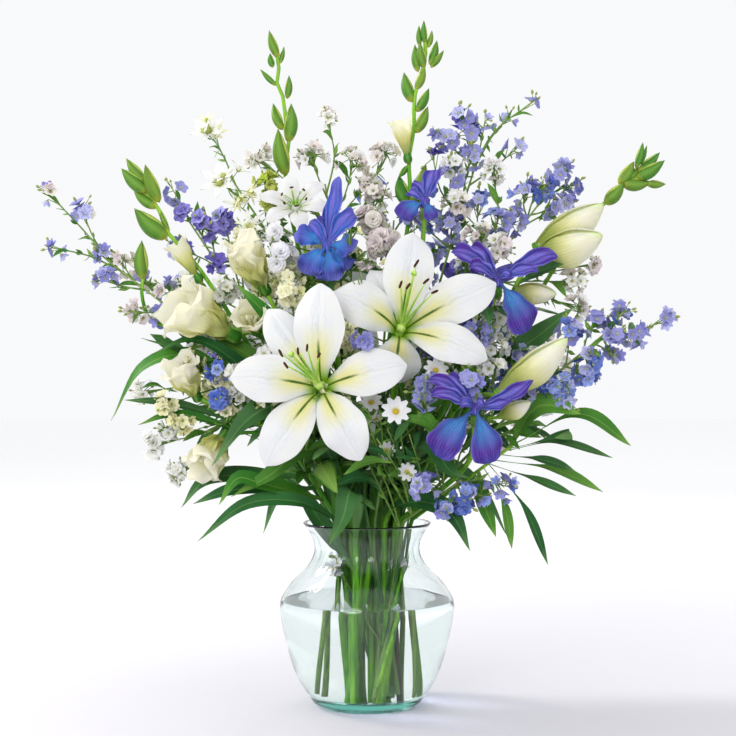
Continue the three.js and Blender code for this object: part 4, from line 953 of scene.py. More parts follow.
# A spike's line and its buds (root, tip, half width) are places (x, z) of the front view.
SPIKES = [
    Spike("spike_top_left", front(-86, 530, 42), 44,
          [(-82, 532), (-78, 562), (-82, 586), (-83, 604), (-90, 620), (-88, 642), (-96, 664)],
          [(-81, 530, -89, 576, 7.6), (-79, 563, -76, 601, 6.6), (-85, 575, -94, 601, 4.6),
           (-80, 606, -78, 629, 3.6), (-91, 619, -107, 635, 2.7), (-87, 641, -83, 658, 2.3),
           (-94, 637, -97, 651, 3.2), (-89, 647, -98, 674, 4.4)]),
    Spike("spike_top_centre", front(37, 500, 22), 26,
          [(43, 499), (42, 546), (47, 576), (47, 602), (51, 622), (58, 642), (58, 666)],
          [(58, 661, 57, 684, 3.2), (53, 658, 52, 679, 2.7), (61, 657, 65, 674, 2.7),
           (57, 637, 53, 662, 4.7), (51, 633, 48, 660, 4.1), (63, 640, 70, 664, 4.1),
           (64, 637, 77, 654, 2.9), (49, 615, 58, 638, 4.2), (45, 603, 37, 632, 5.6),
           (50, 593, 62, 616, 4.4), (49, 572, 61, 598, 5.1), (41, 499, 32, 529, 6.6),
           (44, 496, 59, 541, 6.6), (40, 538, 31, 526, 2.8)],
          opening=(41, 544, 33, 584, 12)),
    Spike("spike_left", front(-166, 440, -6), -7,
          [(-164, 430), (-187, 458), (-199, 471), (-207, 492), (-217, 508), (-225, 524)],
          [(-201, 467, -233, 496, 8.6), (-198, 473, -209, 499, 2.7), (-211, 497, -234, 516, 5.6),
           (-208, 503, -222, 540, 6.2), (-220, 513, -246, 536, 6.6), (-222, 523, -241, 546, 4.9),
           (-224, 426, -225, 464, 6.6)],
          stalks=[[(-190, 376), (-216, 384), (-225, 408), (-224, 428)]],
          opening=(-168, 424, -192, 462, 12)),
    Spike("spike_right", front(226, 480, 28), 29,
          [(218, 482), (235, 498), (244, 508), (257, 521), (273, 528)],
          [(238, 501, 257, 522, 6.6), (252, 521, 267, 543, 5.6), (257, 524, 275, 538, 4.6),
           (269, 537, 276, 562, 3.7), (273, 540, 280, 559, 2.3), (272, 533, 293, 552, 4.7),
           (270, 526, 298, 544, 6.2), (256, 520, 285, 522, 6.2), (280, 521, 299, 520, 3.9)]),
]

# A spray's stem passes the given places of the front view. Each twig is (share of the stem that it leaves
# from, x, z, depth, radius of its cluster, fullness) and, where it keeps to one look, that look's number.
SPRAYS = [
    Spray("spray_far_left", front(-262, 446, -6), [(-150, 352, -8)], "raceme", (LILAC, BLUSH, WHITE), [
        (0.98, -320, 512, -4, 9, 1), (0.97, -285, 494, 4, 14, 2), (0.96, -314, 456, -14, 9, 1, 0),
        (0.9, -264, 424, -18, 13, 2, 0), (0.82, -226, 430, 10, 14, 2), (0.74, -210, 390, -10, 14, 2),
        (0.94, -267, 450, -6, 8, 1, 0), (0.88, -247, 444, 0, 13, 2, 1), (0.8, -234, 392, -16, 13, 1, 1),
        (0.7, -200, 416, -4, 12, 2)]),
    Spray("spray_left_violet", front(-180, 486, 34), [(-120, 392, 30)], "raceme", (VIOLET, LILAC, CREAMY), [
        (0.99, -194, 514, 34, 12, 1, 1), (0.94, -164, 486, 16, 10, 1, 0), (0.84, -150, 442, 8, 10, 1, 0),
        (0.93, -184, 492, 26, 9, 1), (0.9, -160, 474, 14, 9, 1, 0),
        (0.7, -128, 452, 22, 12, 1, 2)]),
    Spray("spray_airy_white", front(-137, 528, 30), [(-84, 440, 40)], "airy", (WHITE, CREAMY, LIME), [
        (0.98, -159, 574, 24, 20, 1), (0.94, -148, 522, 8, 22, 1), (0.84, -118, 478, 10, 18, 1),
        (0.86, -130, 500, 24, 15, 1), (0.8, -94, 494, 30, 15, 3, 2, "filler"),
        (0.74, -100, 520, 36, 13, 2, 2, "filler"), (0.8, -120, 470, 12, 13, 2, 1, "filler")]),
    Spray("filler_top", front(-42, 520, 44), [(-26, 420, 40)], "filler", (BLUSH, WHITE, CREAMY), [
        (0.84, -106, 544, 60, 16, 2), (0.97, -56, 546, 40, 16, 2), (0.92, -14, 540, 36, 16, 2),
        (0.98, -40, 586, 44, 9, 1), (0.84, 10, 506, 28, 18, 3), (0.8, -88, 444, -34, 19, 3, 1, "ruff"),
        (0.8, -2, 448, -32, 18, 3, 0, "ruff"), (0.86, 16, 546, 34, 14, 2),
        (0.84, -84, 474, -22, 17, 3, 1, "ruff"), (0.8, 16, 462, -22, 15, 2, 0, "ruff"),
        (0.86, 4, 482, 8, 15, 2, 0, "ruff"), (0.8, 10, 440, -44, 12, 1, 0, "leafy"),
        (0.8, 24, 456, -40, 12, 1, 0, "leafy"), (0.84, -96, 462, -30, 13, 1, 0, "leafy"),
        (0.8, -84, 414, -40, 14, 2, 1, "ruff"),
        (0.9, -2, 516, 30, 15, 3), (0.9, -66, 500, 34, 16, 2, 1),
        (0.84, -70, 404, -34, 12, 1, 0, "leafy"), (0.84, -56, 412, -30, 12, 1, 0, "leafy")]),
    Spray("spray_top_right", front(112, 550, 30), [(78, 440, 36)], "raceme", (VIOLET, LILAC, LILAC), [
        (0.98, 76, 568, 20, 13, 2, 1), (0.96, 100, 576, 34, 13, 2, 1), (0.98, 166, 602, 30, 8, 0, 1),
        (0.94, 150, 556, 30, 10, 1, 1), (0.86, 84, 534, 12, 14, 2, 1), (0.97, 94, 590, 30, 11, 2),
        (0.96, 118, 584, 34, 10, 1, 1), (0.97, 142, 588, 30, 9, 0, 1),
        (0.9, 106, 552, 20, 13, 2, 1), (0.88, 66, 546, 16, 12, 2, 0)]),
    Spray("spray_right_upper", front(176, 506, 40), [(108, 410, 34)], "raceme", (LILAC, BLUE, BLUSH), [
        (0.98, 196, 532, 40, 14, 3, 0), (0.95, 158, 514, 28, 13, 3), (0.93, 200, 500, 50, 12, 2),
        (0.84, 130, 484, 20, 14, 3), (0.96, 184, 498, 36, 13, 2, 0), (0.95, 176, 520, 34, 13, 3),
        (0.88, 148, 488, 26, 14, 3, 0), (0.98, 208, 520, 44, 10, 2), (0.8, 112, 506, 30, 14, 3)]),
    Spray("spray_far_right", front(240, 372, -26), [(150, 296, -34)], "raceme", (LILAC, BLUE, WHITE), [
        (0.99, 300, 386, -30, 8, 1), (0.98, 268, 370, -22, 14, 3, 0), (0.96, 256, 392, -34, 12, 2),
        (0.9, 224, 346, -46, 14, 3), (0.84, 198, 318, -44, 14, 3), (0.96, 246, 348, -16, 8, 1, 0),
        (0.96, 250, 372, -30, 10, 2, 0), (0.93, 230, 382, -24, 13, 3, 0), (0.88, 202, 374, -30, 14, 3),
        (0.88, 218, 330, -30, 13, 3, 1), (0.82, 200, 302, -40, 12, 2), (0.82, 184, 322, -50, 12, 3, 1)]),
    Spray("spray_front_low", front(94, 224, -66), [], "raceme", (LILAC, BLUE, WHITE), [
        (0.98, 98, 202, -78, 14, 3, 1), (0.98, 138, 218, -66, 14, 2), (0.9, 58, 220, -84, 15, 3, 0),
        (0.94, 78, 196, -82, 11, 2), (0.96, 114, 208, -74, 12, 2)]),
    Spray("filler_left", front(-136, 350, 20), [], "filler", (WHITE, BLUE, CREAMY), [
        (0.9, -150, 334, -74, 11, 3, 1, "raceme"), (0.98, -184, 414, 18, 16, 3, 0),
        (0.84, -212, 260, 0, 15, 2, 0),
        (0.96, -224, 312, 14, 12, 2, 0), (0.88, -150, 306, -78, 10, 3, 1, "raceme"),
        (0.9, -184, 284, -40, 13, 2, 2), (0.9, -200, 298, -36, 12, 2, 2), (0.88, -158, 272, -70, 12, 2, 2),
        (0.85, -140, 288, -64, 12, 2, 2), (0.92, -150, 322, -62, 12, 2, 2),
        (0.88, -172, 340, -40, 12, 2, 2), (0.97, -158, 362, -10, 14, 2, 0),
        (0.8, -186, 232, 0, 12, 2, 0), (0.8, -196, 276, 2, 14, 2, 0),
        (0.96, -206, 360, 6, 12, 1, 0, "leafy"), (0.94, -196, 350, -20, 12, 1, 0, "leafy")]),
    Spray("daisies_front", front(20, 262, -48), [], "daisy", (DAISY, DAISY), [
        (0.98, 29, 293, -88, 15, 1), (0.95, 69, 334, -60, 13, 1), (0.92, 4, 302, -56, 12, 1),
        (0.9, 40, 232, -66, 10, 1), (0.9, 20, 254, -70, 9, 1), (0.94, 88, 314, -50, 10, 1),
        (0.86, -82, 386, -40, 13, 1), (0.14, -30, 138, -12, 9, 1, 0, "filler"),
        (0.12, -22, 148, 10, 8, 1, 0, "filler"), (0.13, 31, 136, -14, 8, 1, 0, "filler")]),
    Spray("filler_right", front(146, 468, 16), [(92, 380, 14)], "filler", (WHITE, BLUSH, LILAC), [
        (0.97, 134, 456, -14, 15, 3), (0.88, 206, 422, 10, 13, 2), (0.9, 224, 440, 16, 9, 2),
        (0.98, 126, 532, 14, 13, 2), (0.96, 88, 500, 8, 14, 3), (0.93, 86, 538, 16, 13, 2, 0),
        (0.9, 112, 466, 0, 15, 3), (0.9, 208, 396, 4, 13, 2), (0.86, 100, 440, -10, 14, 2),
        (0.84, 106, 408, -24, 13, 1, 0, "leafy"), (0.8, 94, 424, -16, 12, 1, 0, "leafy"),
        (0.84, 120, 398, -22, 13, 1, 0, "leafy")]),
    Spray("spray_back_left", vec(-140, 74, 430), [], "raceme", (VIOLET, LILAC, WHITE), [
        (0.97, -190, 456, 78, 14, 3), (0.95, -142, 488, 74, 14, 3), (0.86, -170, 392, 96, 14, 3),
        (0.9, -186, 420, 84, 14, 3), (0.84, -150, 352, 100, 14, 2), (0.93, -116, 462, 92, 14, 3)]),
    Spray("spray_back_top", vec(28, 70, 490), [], "raceme", (LILAC, BLUE, CREAMY), [
        (0.97, 60, 522, 72, 14, 3), (0.95, 2, 518, 80, 14, 3), (0.88, 38, 452, 104, 14, 3),
        (0.92, 66, 486, 92, 14, 3), (0.9, 6, 484, 100, 13, 2), (0.9, 90, 460, 96, 13, 3)]),
    Spray("filler_back_right", vec(130, 66, 336), [], "filler", (WHITE, BLUSH, BLUE), [
        (0.98, 174, 360, 76, 16, 3), (0.95, 176, 306, 84, 15, 3), (0.88, 128, 264, 96, 15, 3),
        (0.94, 192, 334, 70, 15, 2), (0.9, 150, 290, 96, 14, 3)]),
]

FOLIAGE = [
    Branch("foliage_right", front(150, 262, -34), [
        (0.97, [(172, 298, -44), (214, 290, -52)], 12),
        (0.99, [(214, 290, -30), (264, 258, -26)], 8, STALKED),
        (0.96, [(205, 270, -24), (187, 266, -34)], 6, STALKED),
        (0.95, [(190, 262, -20), (246, 246, -20)], 5, STALKED),
        (0.93, [(176, 244, -30), (208, 233, -34)], 6, STALKED),
        (0.9, [(190, 234, -12), (236, 212, -12)], 6, STALKED),
        (0.88, [(170, 224, -24), (209, 208, -28)], 5, STALKED),
        (0.84, [(116, 204, -54), (129, 167, -62)], 8),
        (0.86, [(136, 204, -44), (145, 155, -52)], 5, STALKED),
        (0.88, [(158, 196, -30), (181, 139, -36)], 5, STALKED)]),
    Branch("foliage_back", vec(-14, 84, 296), [
        (0.99, [(-20, 330, 92), (-26, 366, 88)], 13),
        (0.94, [(-52, 290, 100), (-100, 296, 116)], 13),
        (0.88, [(-20, 230, 96), (-50, 190, 110)], 12),
        (0.86, [(20, 250, 92), (56, 212, 112)], 11),
        (0.7, [(-18, 240, 30), (-34, 204, 44)], 14),
        (0.72, [(14, 244, 28), (34, 206, 42)], 14),
        (0.66, [(2, 230, 20), (4, 196, 34)], 13),
        (0.8, [(-2, 262, 10), (-12, 224, 16)], 13),
        (0.8, [(20, 262, 14), (26, 228, 20)], 13)]),
]

BUD_STEM_LEAVES = [(0.92, [(176, 434, -16), (197, 440, -32)], 8),
                   (0.7, [(160, 360, -2), (206, 396, -8)], 12)]
CREAM_STEM_LEAVES = [
    (0.8, [(-176, 348, -26), (-222, 338, -30), (-256, 283, -40)], 9),
    (0.74, [(-190, 300, -32), (-243, 304, -40)], 4.8, STALKED),
    (0.7, [(-190, 290, -38), (-229, 279, -44)], 4.8, STALKED),
    (0.62, [(-160, 224, -50), (-186, 196, -56)], 9),
    (0.58, [(-134, 214, -62), (-174, 200, -66)], 9),
    (0.54, [(-110, 222, -84), (-129, 226, -90), (-148, 199, -92)], 10),
]
UPPER_STEM_LEAVES = [
    (0.74, [(-100, 388, -62), (-131, 420, -66)], 10),
    (0.72, [(-96, 366, -30), (-136, 376, -36)], 11),
    (0.66, [(-140, 360, -20), (-186, 354, -24)], 9),
    (0.6, [(-170, 364, -40), (-215, 350, -46)], 8),
    (0.58, [(-180, 350, -30), (-226, 366, -34)], 6),
]


# ---- Stems and their places in the neck ----

def cream_seat(bloom):
    return bloom.centre - unit(bloom.axis) * bloom.radius * 0.66


def lily_stems():
    stems = {}
    for lily in LILIES:
        axis = unit(lily.axis)
        bend = lily.centre - axis * 60 - UP * 34
        head = lily.centre - axis * (THROAT_DEPTH + 8)
        stems[lily.name + "_stem"] = {"radius": 3.4, "via": [bend], "head": head,
                                      "leaves": lily.leaves, "leafy": 14}
    stems["star_lily_stem"] = {"radius": 2.4, "via": [front(-50, 400, -6)],
                               "head": STAR_CENTRE - unit(STAR_AXIS) * 13, "leafy": 6}
    return stems


def branched_stems():
    """The stem of the lily's buds and the two of the cream blooms; a branch is (share, end, radius)."""
    top, upper, inner, middle, lower = [cream_seat(bloom) for bloom in CREAM_BLOOMS]
    return {
        "lily_bud_stem": {
            "radius": 3.4, "via": [front(104, 330, 2)], "head": front(167, 453, 0),
            "leaves": BUD_STEM_LEAVES, "leafy": 12,
            "branches": [(0.62, front(129, 309, -58), 2.4), (0.84, front(147, 414, -4), 1.8),
                         (0.56, front(130, 286, -61), 1.8)]},
        "cream_stem_upper": {
            "radius": 3.0, "via": [front(-60, 330, -20)], "head": top, "leafy": 10,
            "leaves": UPPER_STEM_LEAVES, "branches": [(0.86, upper, 2.0), (0.8, inner, 2.0)]},
        "cream_stem_lower": {
            "radius": 3.0, "via": [front(-90, 270, -40)], "head": middle, "leafy": 8,
            "leaves": CREAM_STEM_LEAVES, "branches": [(0.72, lower, 2.0)]},
    }


def iris_and_spike_stems():
    stems = {}
    for iris in IRISES:
        centre = iris.centre
        stems[iris.name + "_stem"] = {"radius": 3.1, "via": [centre + iris.approach],
                                      "head": centre + vec(0, 2.5 * iris.turn, -9), "blades": 13}
    for spike in SPIKES:
        low = vec(0, spike.foot[1] * 0.5, NECK_HEIGHT)
        line = [front(x, z, spike.depth) for x, z in spike.line]
        stems[spike.name] = {"radius": 2.6, "head": line[-1], "blades": 9,
                             "via": [spike.foot * 0.6 + low * 0.4, *line[:-1]]}
    return stems


def thin_stems():
    stems = {}
    for spray in SPRAYS:
        bends = [front(*place) for place in spray.via]
        stems[spray.name] = {"radius": 1.9, "via": bends, "head": spray.head, "leafy": 5, "small": True,
                             "blades": 7}
    for branch in FOLIAGE:
        stems[branch.name] = {"radius": 2.0, "via": [], "head": branch.head, "leaves": branch.leaves}
    return stems


def neck_slots(stems):
    """Each stem passes the neck on the side its head lies on; crowding stems push each other apart."""
    full_lean = 1.1
    slots = []
    for stem in stems:
        aim = stem["via"][0] if stem["via"] else stem["head"]
        reach = math.hypot(aim[0], aim[1])
        lean = math.atan2(reach, aim[2] - NECK_HEIGHT)
        slots.append(aim[:2] / max(reach, 1e-9) * SLOT_RADIUS * min(1, lean / full_lean))
    spread_rounds = 400
    for _ in range(spread_rounds):
        for i in range(len(slots)):
            for j in range(i):
                dx = slots[i][0] - slots[j][0]
                dy = slots[i][1] - slots[j][1]
                apart = math.hypot(dx, dy)
                short = stems[i]["radius"] + stems[j]["radius"] + STEM_GAP - apart
                if short > 0:
                    push = np.array((dx, dy)) / (apart or 1) * short * 0.5
                    slots[i] = slots[i] + push
                    slots[j] = slots[j] - push
        for i, slot in enumerate(slots):
            reach = math.hypot(slot[0], slot[1])
            if reach > SLOT_RADIUS:
                slots[i] = slot * (SLOT_RADIUS / reach)
    return slots


def stem_path(stem, slot, draw):
    """From its foot straight to the neck, past the rim, then bending to its head."""
    def level(height, spread, turn):
        x = slot[0] * math.cos(turn) - slot[1] * math.sin(turn)
        y = slot[0] * math.sin(turn) + slot[1] * math.cos(turn)
        return vec(x * spread, y * spread, height)

    spread = FOOT_SPREAD * draw.uniform(*FOOT_PLAY)
    turn = STEM_TWIST + draw.uniform(-TWIST_PLAY, TWIST_PLAY)
    foot = level(GLASS_FLOOR + GAP, spread, turn)
    past_flat = max(0, math.hypot(foot[0], foot[1]) - FLAT_FLOOR)
    foot[2] += past_flat * FLOOR_RISE + max(0, draw.uniform(-8, 12))
    neck = level(NECK_HEIGHT, 1, 0)
    rim = level(VASE_HEIGHT + 4, RIM_SPREAD, 0)
    upper = curve([rim, *stem["via"], stem["head"]], 34)
    lower = np.linspace(foot, neck, 10)
    return np.vstack([lower, curve([neck, rim, upper[2]], 6)[1:-1], upper[1:]])


# Every stem by its name: its way, its thickness and what it bears.
STEM = {**lily_stems(), **branched_stems(), **iris_and_spike_stems(), **thin_stems()}
for name, slot in zip(STEM, neck_slots(list(STEM.values()))):
    STEM[name]["path"] = stem_path(STEM[name], slot, random.Random(name + "_foot"))


# ---- Leaves ----

def placed_leaf(form, path, entry, draw):
    """A leaf through places of the front view, from its stem."""
    share, at, half_width, *outline = entry
    root, _ = point_on(path, share)
    spine = [root, *[front(*place) for place in at]]
    side = square(spine[-1] - root, vec(0, -1, 0.7))
    stalked = bool(outline)
    fresh = draw.random() < (0.6 if stalked else 0.35)
    sheet(form, FRESH_LEAF if fresh else LEAF, spine, side, half_width,
          outline[0] if outline else LEAF_OUTLINE, rows=26, columns=8, cup=0.3, ruffle=0.05,
          waves=1.6, phase=draw.uniform(0, 6), groove=0.6, thickness=0.8,
          twist=draw.uniform(-0.25, 0.25), tint=draw.uniform(0, 0.35))


def loose_leaf(form, look, spine, side, half_width, draw, thickness, turn):
    """A small grooved leaf, waved, turned and tinted by its own draw."""
    sheet(form, look, spine, side, half_width, LEAF_OUTLINE, rows=12, columns=4, cup=0.3, ruffle=0.08,
          phase=draw.uniform(0, 6), groove=0.5, thickness=thickness, twist=draw.uniform(-turn, turn),
          tint=draw.uniform(0, 0.4))


def free_leaves(form, path, count, draw, small):
    """Leaves set round a stem by the golden angle, arching out and hanging at their tips."""
    first = 0.42
    spread = 0.42
    start = draw.uniform(0, 6.28)
    for k in range(count):
        root, ahead = point_on(path, first + spread * k / count)
        angle = start + LEAF_TURN * k
        out = unit(spoke(angle))
        length = draw.uniform(24, 38) if small else draw.uniform(56, 96) * (1.1 - 0.35 * spread * k / count)
        width = length * (0.13 if small else draw.uniform(0.08, 0.125))
        high = root + ahead * length * 0.35 + out * length * 0.35
        tip = root + ahead * length * 0.45 + out * length * 0.85 - UP * length * draw.uniform(0.05, 0.5)
        if not clear_place(tip) or not clear_place(high):
            continue
        side = square(tip - root, ahead)
        fresh = small or draw.random() < 0.3
        loose_leaf(form, FRESH_LEAF if fresh else LEAF, [root, high, tip], -side, width, draw, 0.8, 0.4)


def long_blades(form, path, count, draw):
    """Narrow sword leaves that stand up along a stem from the neck."""
    for _ in range(count):
        root, ahead = point_on(path, draw.uniform(0.08, 0.42))
        angle = draw.uniform(0, 6.28)
        out = spoke(angle)
        length = draw.uniform(60, 130)
        lean = draw.uniform(0.08, 0.4) if root[2] > VASE_HEIGHT else 0.06
        tip = root + ahead * length + out * length * lean
        sheltered = tip[2] < VASE_HEIGHT and math.hypot(tip[0], tip[1]) < NECK_INSIDE
        if not sheltered and not clear_place(tip):
            continue
        middle = root + ahead * length * 0.5 + out * length * lean * 0.3
        fresh = draw.random() < 0.25
        sheet(form, FRESH_LEAF if fresh else LEAF, [root, middle, tip], square(ahead, out),
              draw.uniform(1.4, 3.6), SWORD, rows=14, columns=4, cup=0.35, thickness=0.8,
              twist=draw.uniform(-0.9, 0.9), tint=draw.uniform(0.0, 0.6))


def bloom_guards():
    """Lines through each large bloom with the width about them that small growth keeps clear of."""
    guards = []
    for lily in LILIES:
        side = -1 if lily.axis[1] < 0 else 1
        for across, rise, back, half_width in lily.petals:
            guards.append((lily.centre, lily.centre + vec(across, back, rise), half_width * 0.9, side))
    guards.append((STAR_CENTRE - vec(16, 0, 0), STAR_CENTRE + vec(16, 0, 0), 26, -1))
    for iris in IRISES:
        side = -iris.turn
        for across, rise, back, half_width, _ in [*iris.falls, *iris.standards]:
            end = iris.centre + vec(across, back, rise)
            guards.append((iris.centre, end, half_width * 0.85, side))
    for bloom in CREAM_BLOOMS:
        seat = cream_seat(bloom)
        lip = seat + unit(bloom.tilt) * bloom.radius * 1.1 * bloom.long
        guards.append((seat, lip, bloom.radius * bloom.open * 0.9, -1))
    for _, buds in LILY_BUDS:
        for root, tip, radius in buds:
            guards.append((root, tip, radius, -1))
    for entry in SPIKES:
        for x, z, tip_x, tip_z, half_width in entry.buds:
            depth = entry.depth
            guards.append((front(x, z, depth), front(tip_x, tip_z, depth), half_width, -1))
    starts, ends, widths, sides = [np.array(column, float) for column in zip(*guards)]
    return starts, ends - starts, widths, sides


GUARDS = bloom_guards()


def hides_bloom(point, margin=0.0):
    """True where small growth would stand before a large bloom."""
    starts, runs, widths, sides = GUARDS
    flat = runs[:, ::2]
    share = ((point - starts)[:, ::2] * flat).sum(1) / np.maximum((flat * flat).sum(1), 1e-6)
    nearest = starts + runs * np.clip(share, 0, 1)[:, None]
    beside = np.linalg.norm((point - nearest)[:, ::2], axis=1)
    ahead = (point[1] - nearest[:, 1]) * sides
    return bool(np.any((beside < widths + margin) & (ahead > BEHIND_BLOOM)))


def clear_place(point):
    """True where a loose leaf's tip or a floret is within the bouquet and before no large bloom."""
    low, high = cad_box
    inside = all(low[k] / MM + EDGE_MARGIN < point[k] < high[k] / MM - EDGE_MARGIN for k in range(3))
    return inside and point[2] > LOWEST_GROWTH and not hides_bloom(point)


# ---- Stems' pieces ----

def stem_form(name, draw):
    """A stem with its branches and leaves."""
    stem = STEM[name]
    path = stem["path"]
    form = Form()
    thin = 0.75 * stem["radius"] if not stem.get("small") else 0.5 * stem["radius"]
    tint = draw.uniform(0, 0.62)
    paths = [(path, 1.1 * stem["radius"], thin, tint)]
    for share, end, radius in stem.get("branches", []):
        start, _ = point_on(path, share)
        bend = (start + end) / 2 + UP * 8
        paths.append((curve([start, bend, end], 10), radius, radius * 0.9, tint))
    look = TWIG if stem.get("small") else GREEN_STEM
    grow_stems(form, BROWN_STEM if name == "filler_right" else look, paths, 10)
    for entry in stem.get("leaves", []):
        placed_leaf(form, path, entry, draw)
    free_leaves(form, path, stem.get("leafy", 0), draw, stem.get("small", False))
    long_blades(form, path, stem.get("blades", 12), draw)
    return form


def make_stems():
    for name in STEM:
        if name.endswith("stem") or name.startswith(("cream", "foliage")):
            form = stem_form(name, random.Random(name))
            slot = "leaf_green" if name.startswith("foliage") else "stem_green"
            form.piece(name + "_piece", slot, name)


# ---- Lilies ----

def lily_petals(lily):
    form = Form()
    centre, axis = lily.centre, unit(lily.axis)
    draw = random.Random(lily.name)
    for k, (across, rise, back, half_width) in enumerate(lily.petals):
        layer = 1.4 if k % 2 == 0 else -1.4
        out = vec(across, back, rise)
        places = [(0.02, -THROAT_DEPTH), (0.09, -15 + layer), (0.2, -5 + layer), (0.4, 4 + layer),
                  (0.66, 8 + layer), (0.87, 5), (1, -1)]
        spine = petal_spine(centre, out, axis, places)
        side = square(out, axis)
        sheet(form, LILY, spine, side, half_width, LILY_PETAL, rows=40, columns=20, cup=-0.15,
              ruffle=0.085 if k % 2 == 0 else 0.05, waves=draw.uniform(1.8, 2.6), phase=draw.uniform(0, 6),
              groove=2.0, thickness=1.0, twist=draw.uniform(-0.16, 0.16), uneven=0.025)
    throat = centre - axis * THROAT_DEPTH
    round_form(form, GREEN_STEM, [throat - axis * 14, throat + axis * 5], 6.4, POD, sides=18, rings=8)
    form.piece(lily.name + "_bloom", "lily_white", lily.name + "_petals")


def lily_stamens(lily):
    form = Form()
    centre, axis = lily.centre, unit(lily.axis)
    seat = centre + axis * (4 - THROAT_DEPTH)
    crown = centre - axis * 2
    round_form(form, FILAMENT, [seat, crown], 4.8, POD, sides=12, rings=6, seams=6, seam=0.2)
    filaments = []
    for k, (across, rise, back) in enumerate(lily.anthers):
        end = centre + vec(across, back, rise)
        away = end - crown
        spread = unit(away - axis * (away @ axis))
        base = crown * 0.8 + seat * 0.2 + spread * 1.7
        bend = (crown + end) / 2 + axis * 5
        pistil = k == len(lily.anthers) - 1
        filaments.append((curve([base, bend, end], 14), 1.6 if pistil else 1.3, 1.2 if pistil else 0.6, 0.0))
        if pistil:
            round_form(form, FILAMENT, [end - away * 0.02, end + unit(away) * 4], 2.8, POD, sides=12,
                       rings=6, seams=3, seam=0.35)
        else:
            slant = square(away, axis) * 0.35
            lie = unit(unit(away) + slant + axis * 0.2) * 5.4
            round_form(form, POLLEN, [end - lie, end + axis * 0.7, end + lie], 1.25, POD, sides=10,
                       rings=9, seams=2, seam=0.2)
    grow_stems(form, FILAMENT, filaments, 8)
    form.piece(lily.name + "_anthers", "stamen_green", lily.name + "_stamens")


def star_lily():
    form = Form()
    centre, axis = STAR_CENTRE, unit(STAR_AXIS)
    filaments = []
    for k in range(STAR_LOBES):
        out = outward(axis, UP, 2 * math.pi * (k + 0.25) / STAR_LOBES) * STAR_RADIUS
        places = [(0.02, -9), (0.25, k % 2 - 1), (0.6, 5 + k % 2), (1, 3)]
        spine = petal_spine(centre, out, axis, places)
        sheet(form, STAR, spine, square(out, axis), 9, PETAL, rows=18, columns=10, cup=-0.1,
              ruffle=0.05, phase=k * 1.7, groove=0.7, thickness=0.8)
        tip = centre + out * 0.34 + axis * 11
        filaments.append((curve([centre - axis * 4, centre + out * 0.1 + axis * 6, tip], 7), 0.6, 0.4, 0.0))
        lie = square(out, axis) * 2.4
        round_form(form, POLLEN, [tip - lie, tip + lie], 1.0, POD, sides=6, rings=4)
    round_form(form, STAR, [centre - axis * 18, centre - axis * 2], 4.6, POD, sides=12, rings=6)
    grow_stems(form, FILAMENT, filaments, 6)
    form.piece("star_lily_bloom", "lily_white", "star_lily_petals")


# ---- Cream blooms ----

# Each layer is (petals, reach, forward at the lip, half width), in shares of the bloom's radius.
CREAM_LAYERS = [(3, 1.0, 0.5, 0.58), (3, 0.9, 0.7, 0.5), (2, 0.3, 0.36, 0.24)]


def cream_bloom(bloom):
    """A ruffled funnel of broad soft petals, with smaller ones inside."""
    form = Form()
    radius = bloom.radius
    axis = unit(bloom.tilt)
    seat = cream_seat(bloom)
    draw = random.Random(bloom.name)
    outline = LILY_PETAL if bloom.open < 0.8 else ROUND_PETAL
    for level, (count, reach, forward, width) in enumerate(CREAM_LAYERS):
        for k in range(count):
            angle = 2 * math.pi * (k + level * 0.5) / count + bloom.turn + draw.uniform(-0.12, 0.12)
            out = outward(axis, UP, angle)
            lip = radius * reach * bloom.open * draw.uniform(0.94, 1.08)
            places = [(0.03, -0.8), (0.18, -0.5), (0.36, -0.12), (0.62, 0.24), (0.92, forward),
                      (1.08, forward * 0.86)]
            spine = [seat + out * lip * share + axis * (radius * (height + 0.66) * bloom.long)
                     for share, height in places]
            side = square(out, axis)
            sheet(form, CREAM, spine, side, radius * width, outline, rows=26, columns=14, cup=0.24,
                  ruffle=0.2, waves=draw.uniform(2.4, 3.6), phase=draw.uniform(0, 6), groove=0.7,
                  thickness=0.8, uneven=0.07, tint=min(1, max(0, bloom.tint + draw.uniform(-0.15, 0.2))))
    heel = [seat - axis * 0.22 * radius, seat + axis * 0.36 * radius]
    round_form(form, FRESH_LEAF, heel, radius * 0.19, POD, sides=12, rings=6)
    form.piece(bloom.name + "_petals", "cream_petal", bloom.name)


# ---- Irises ----

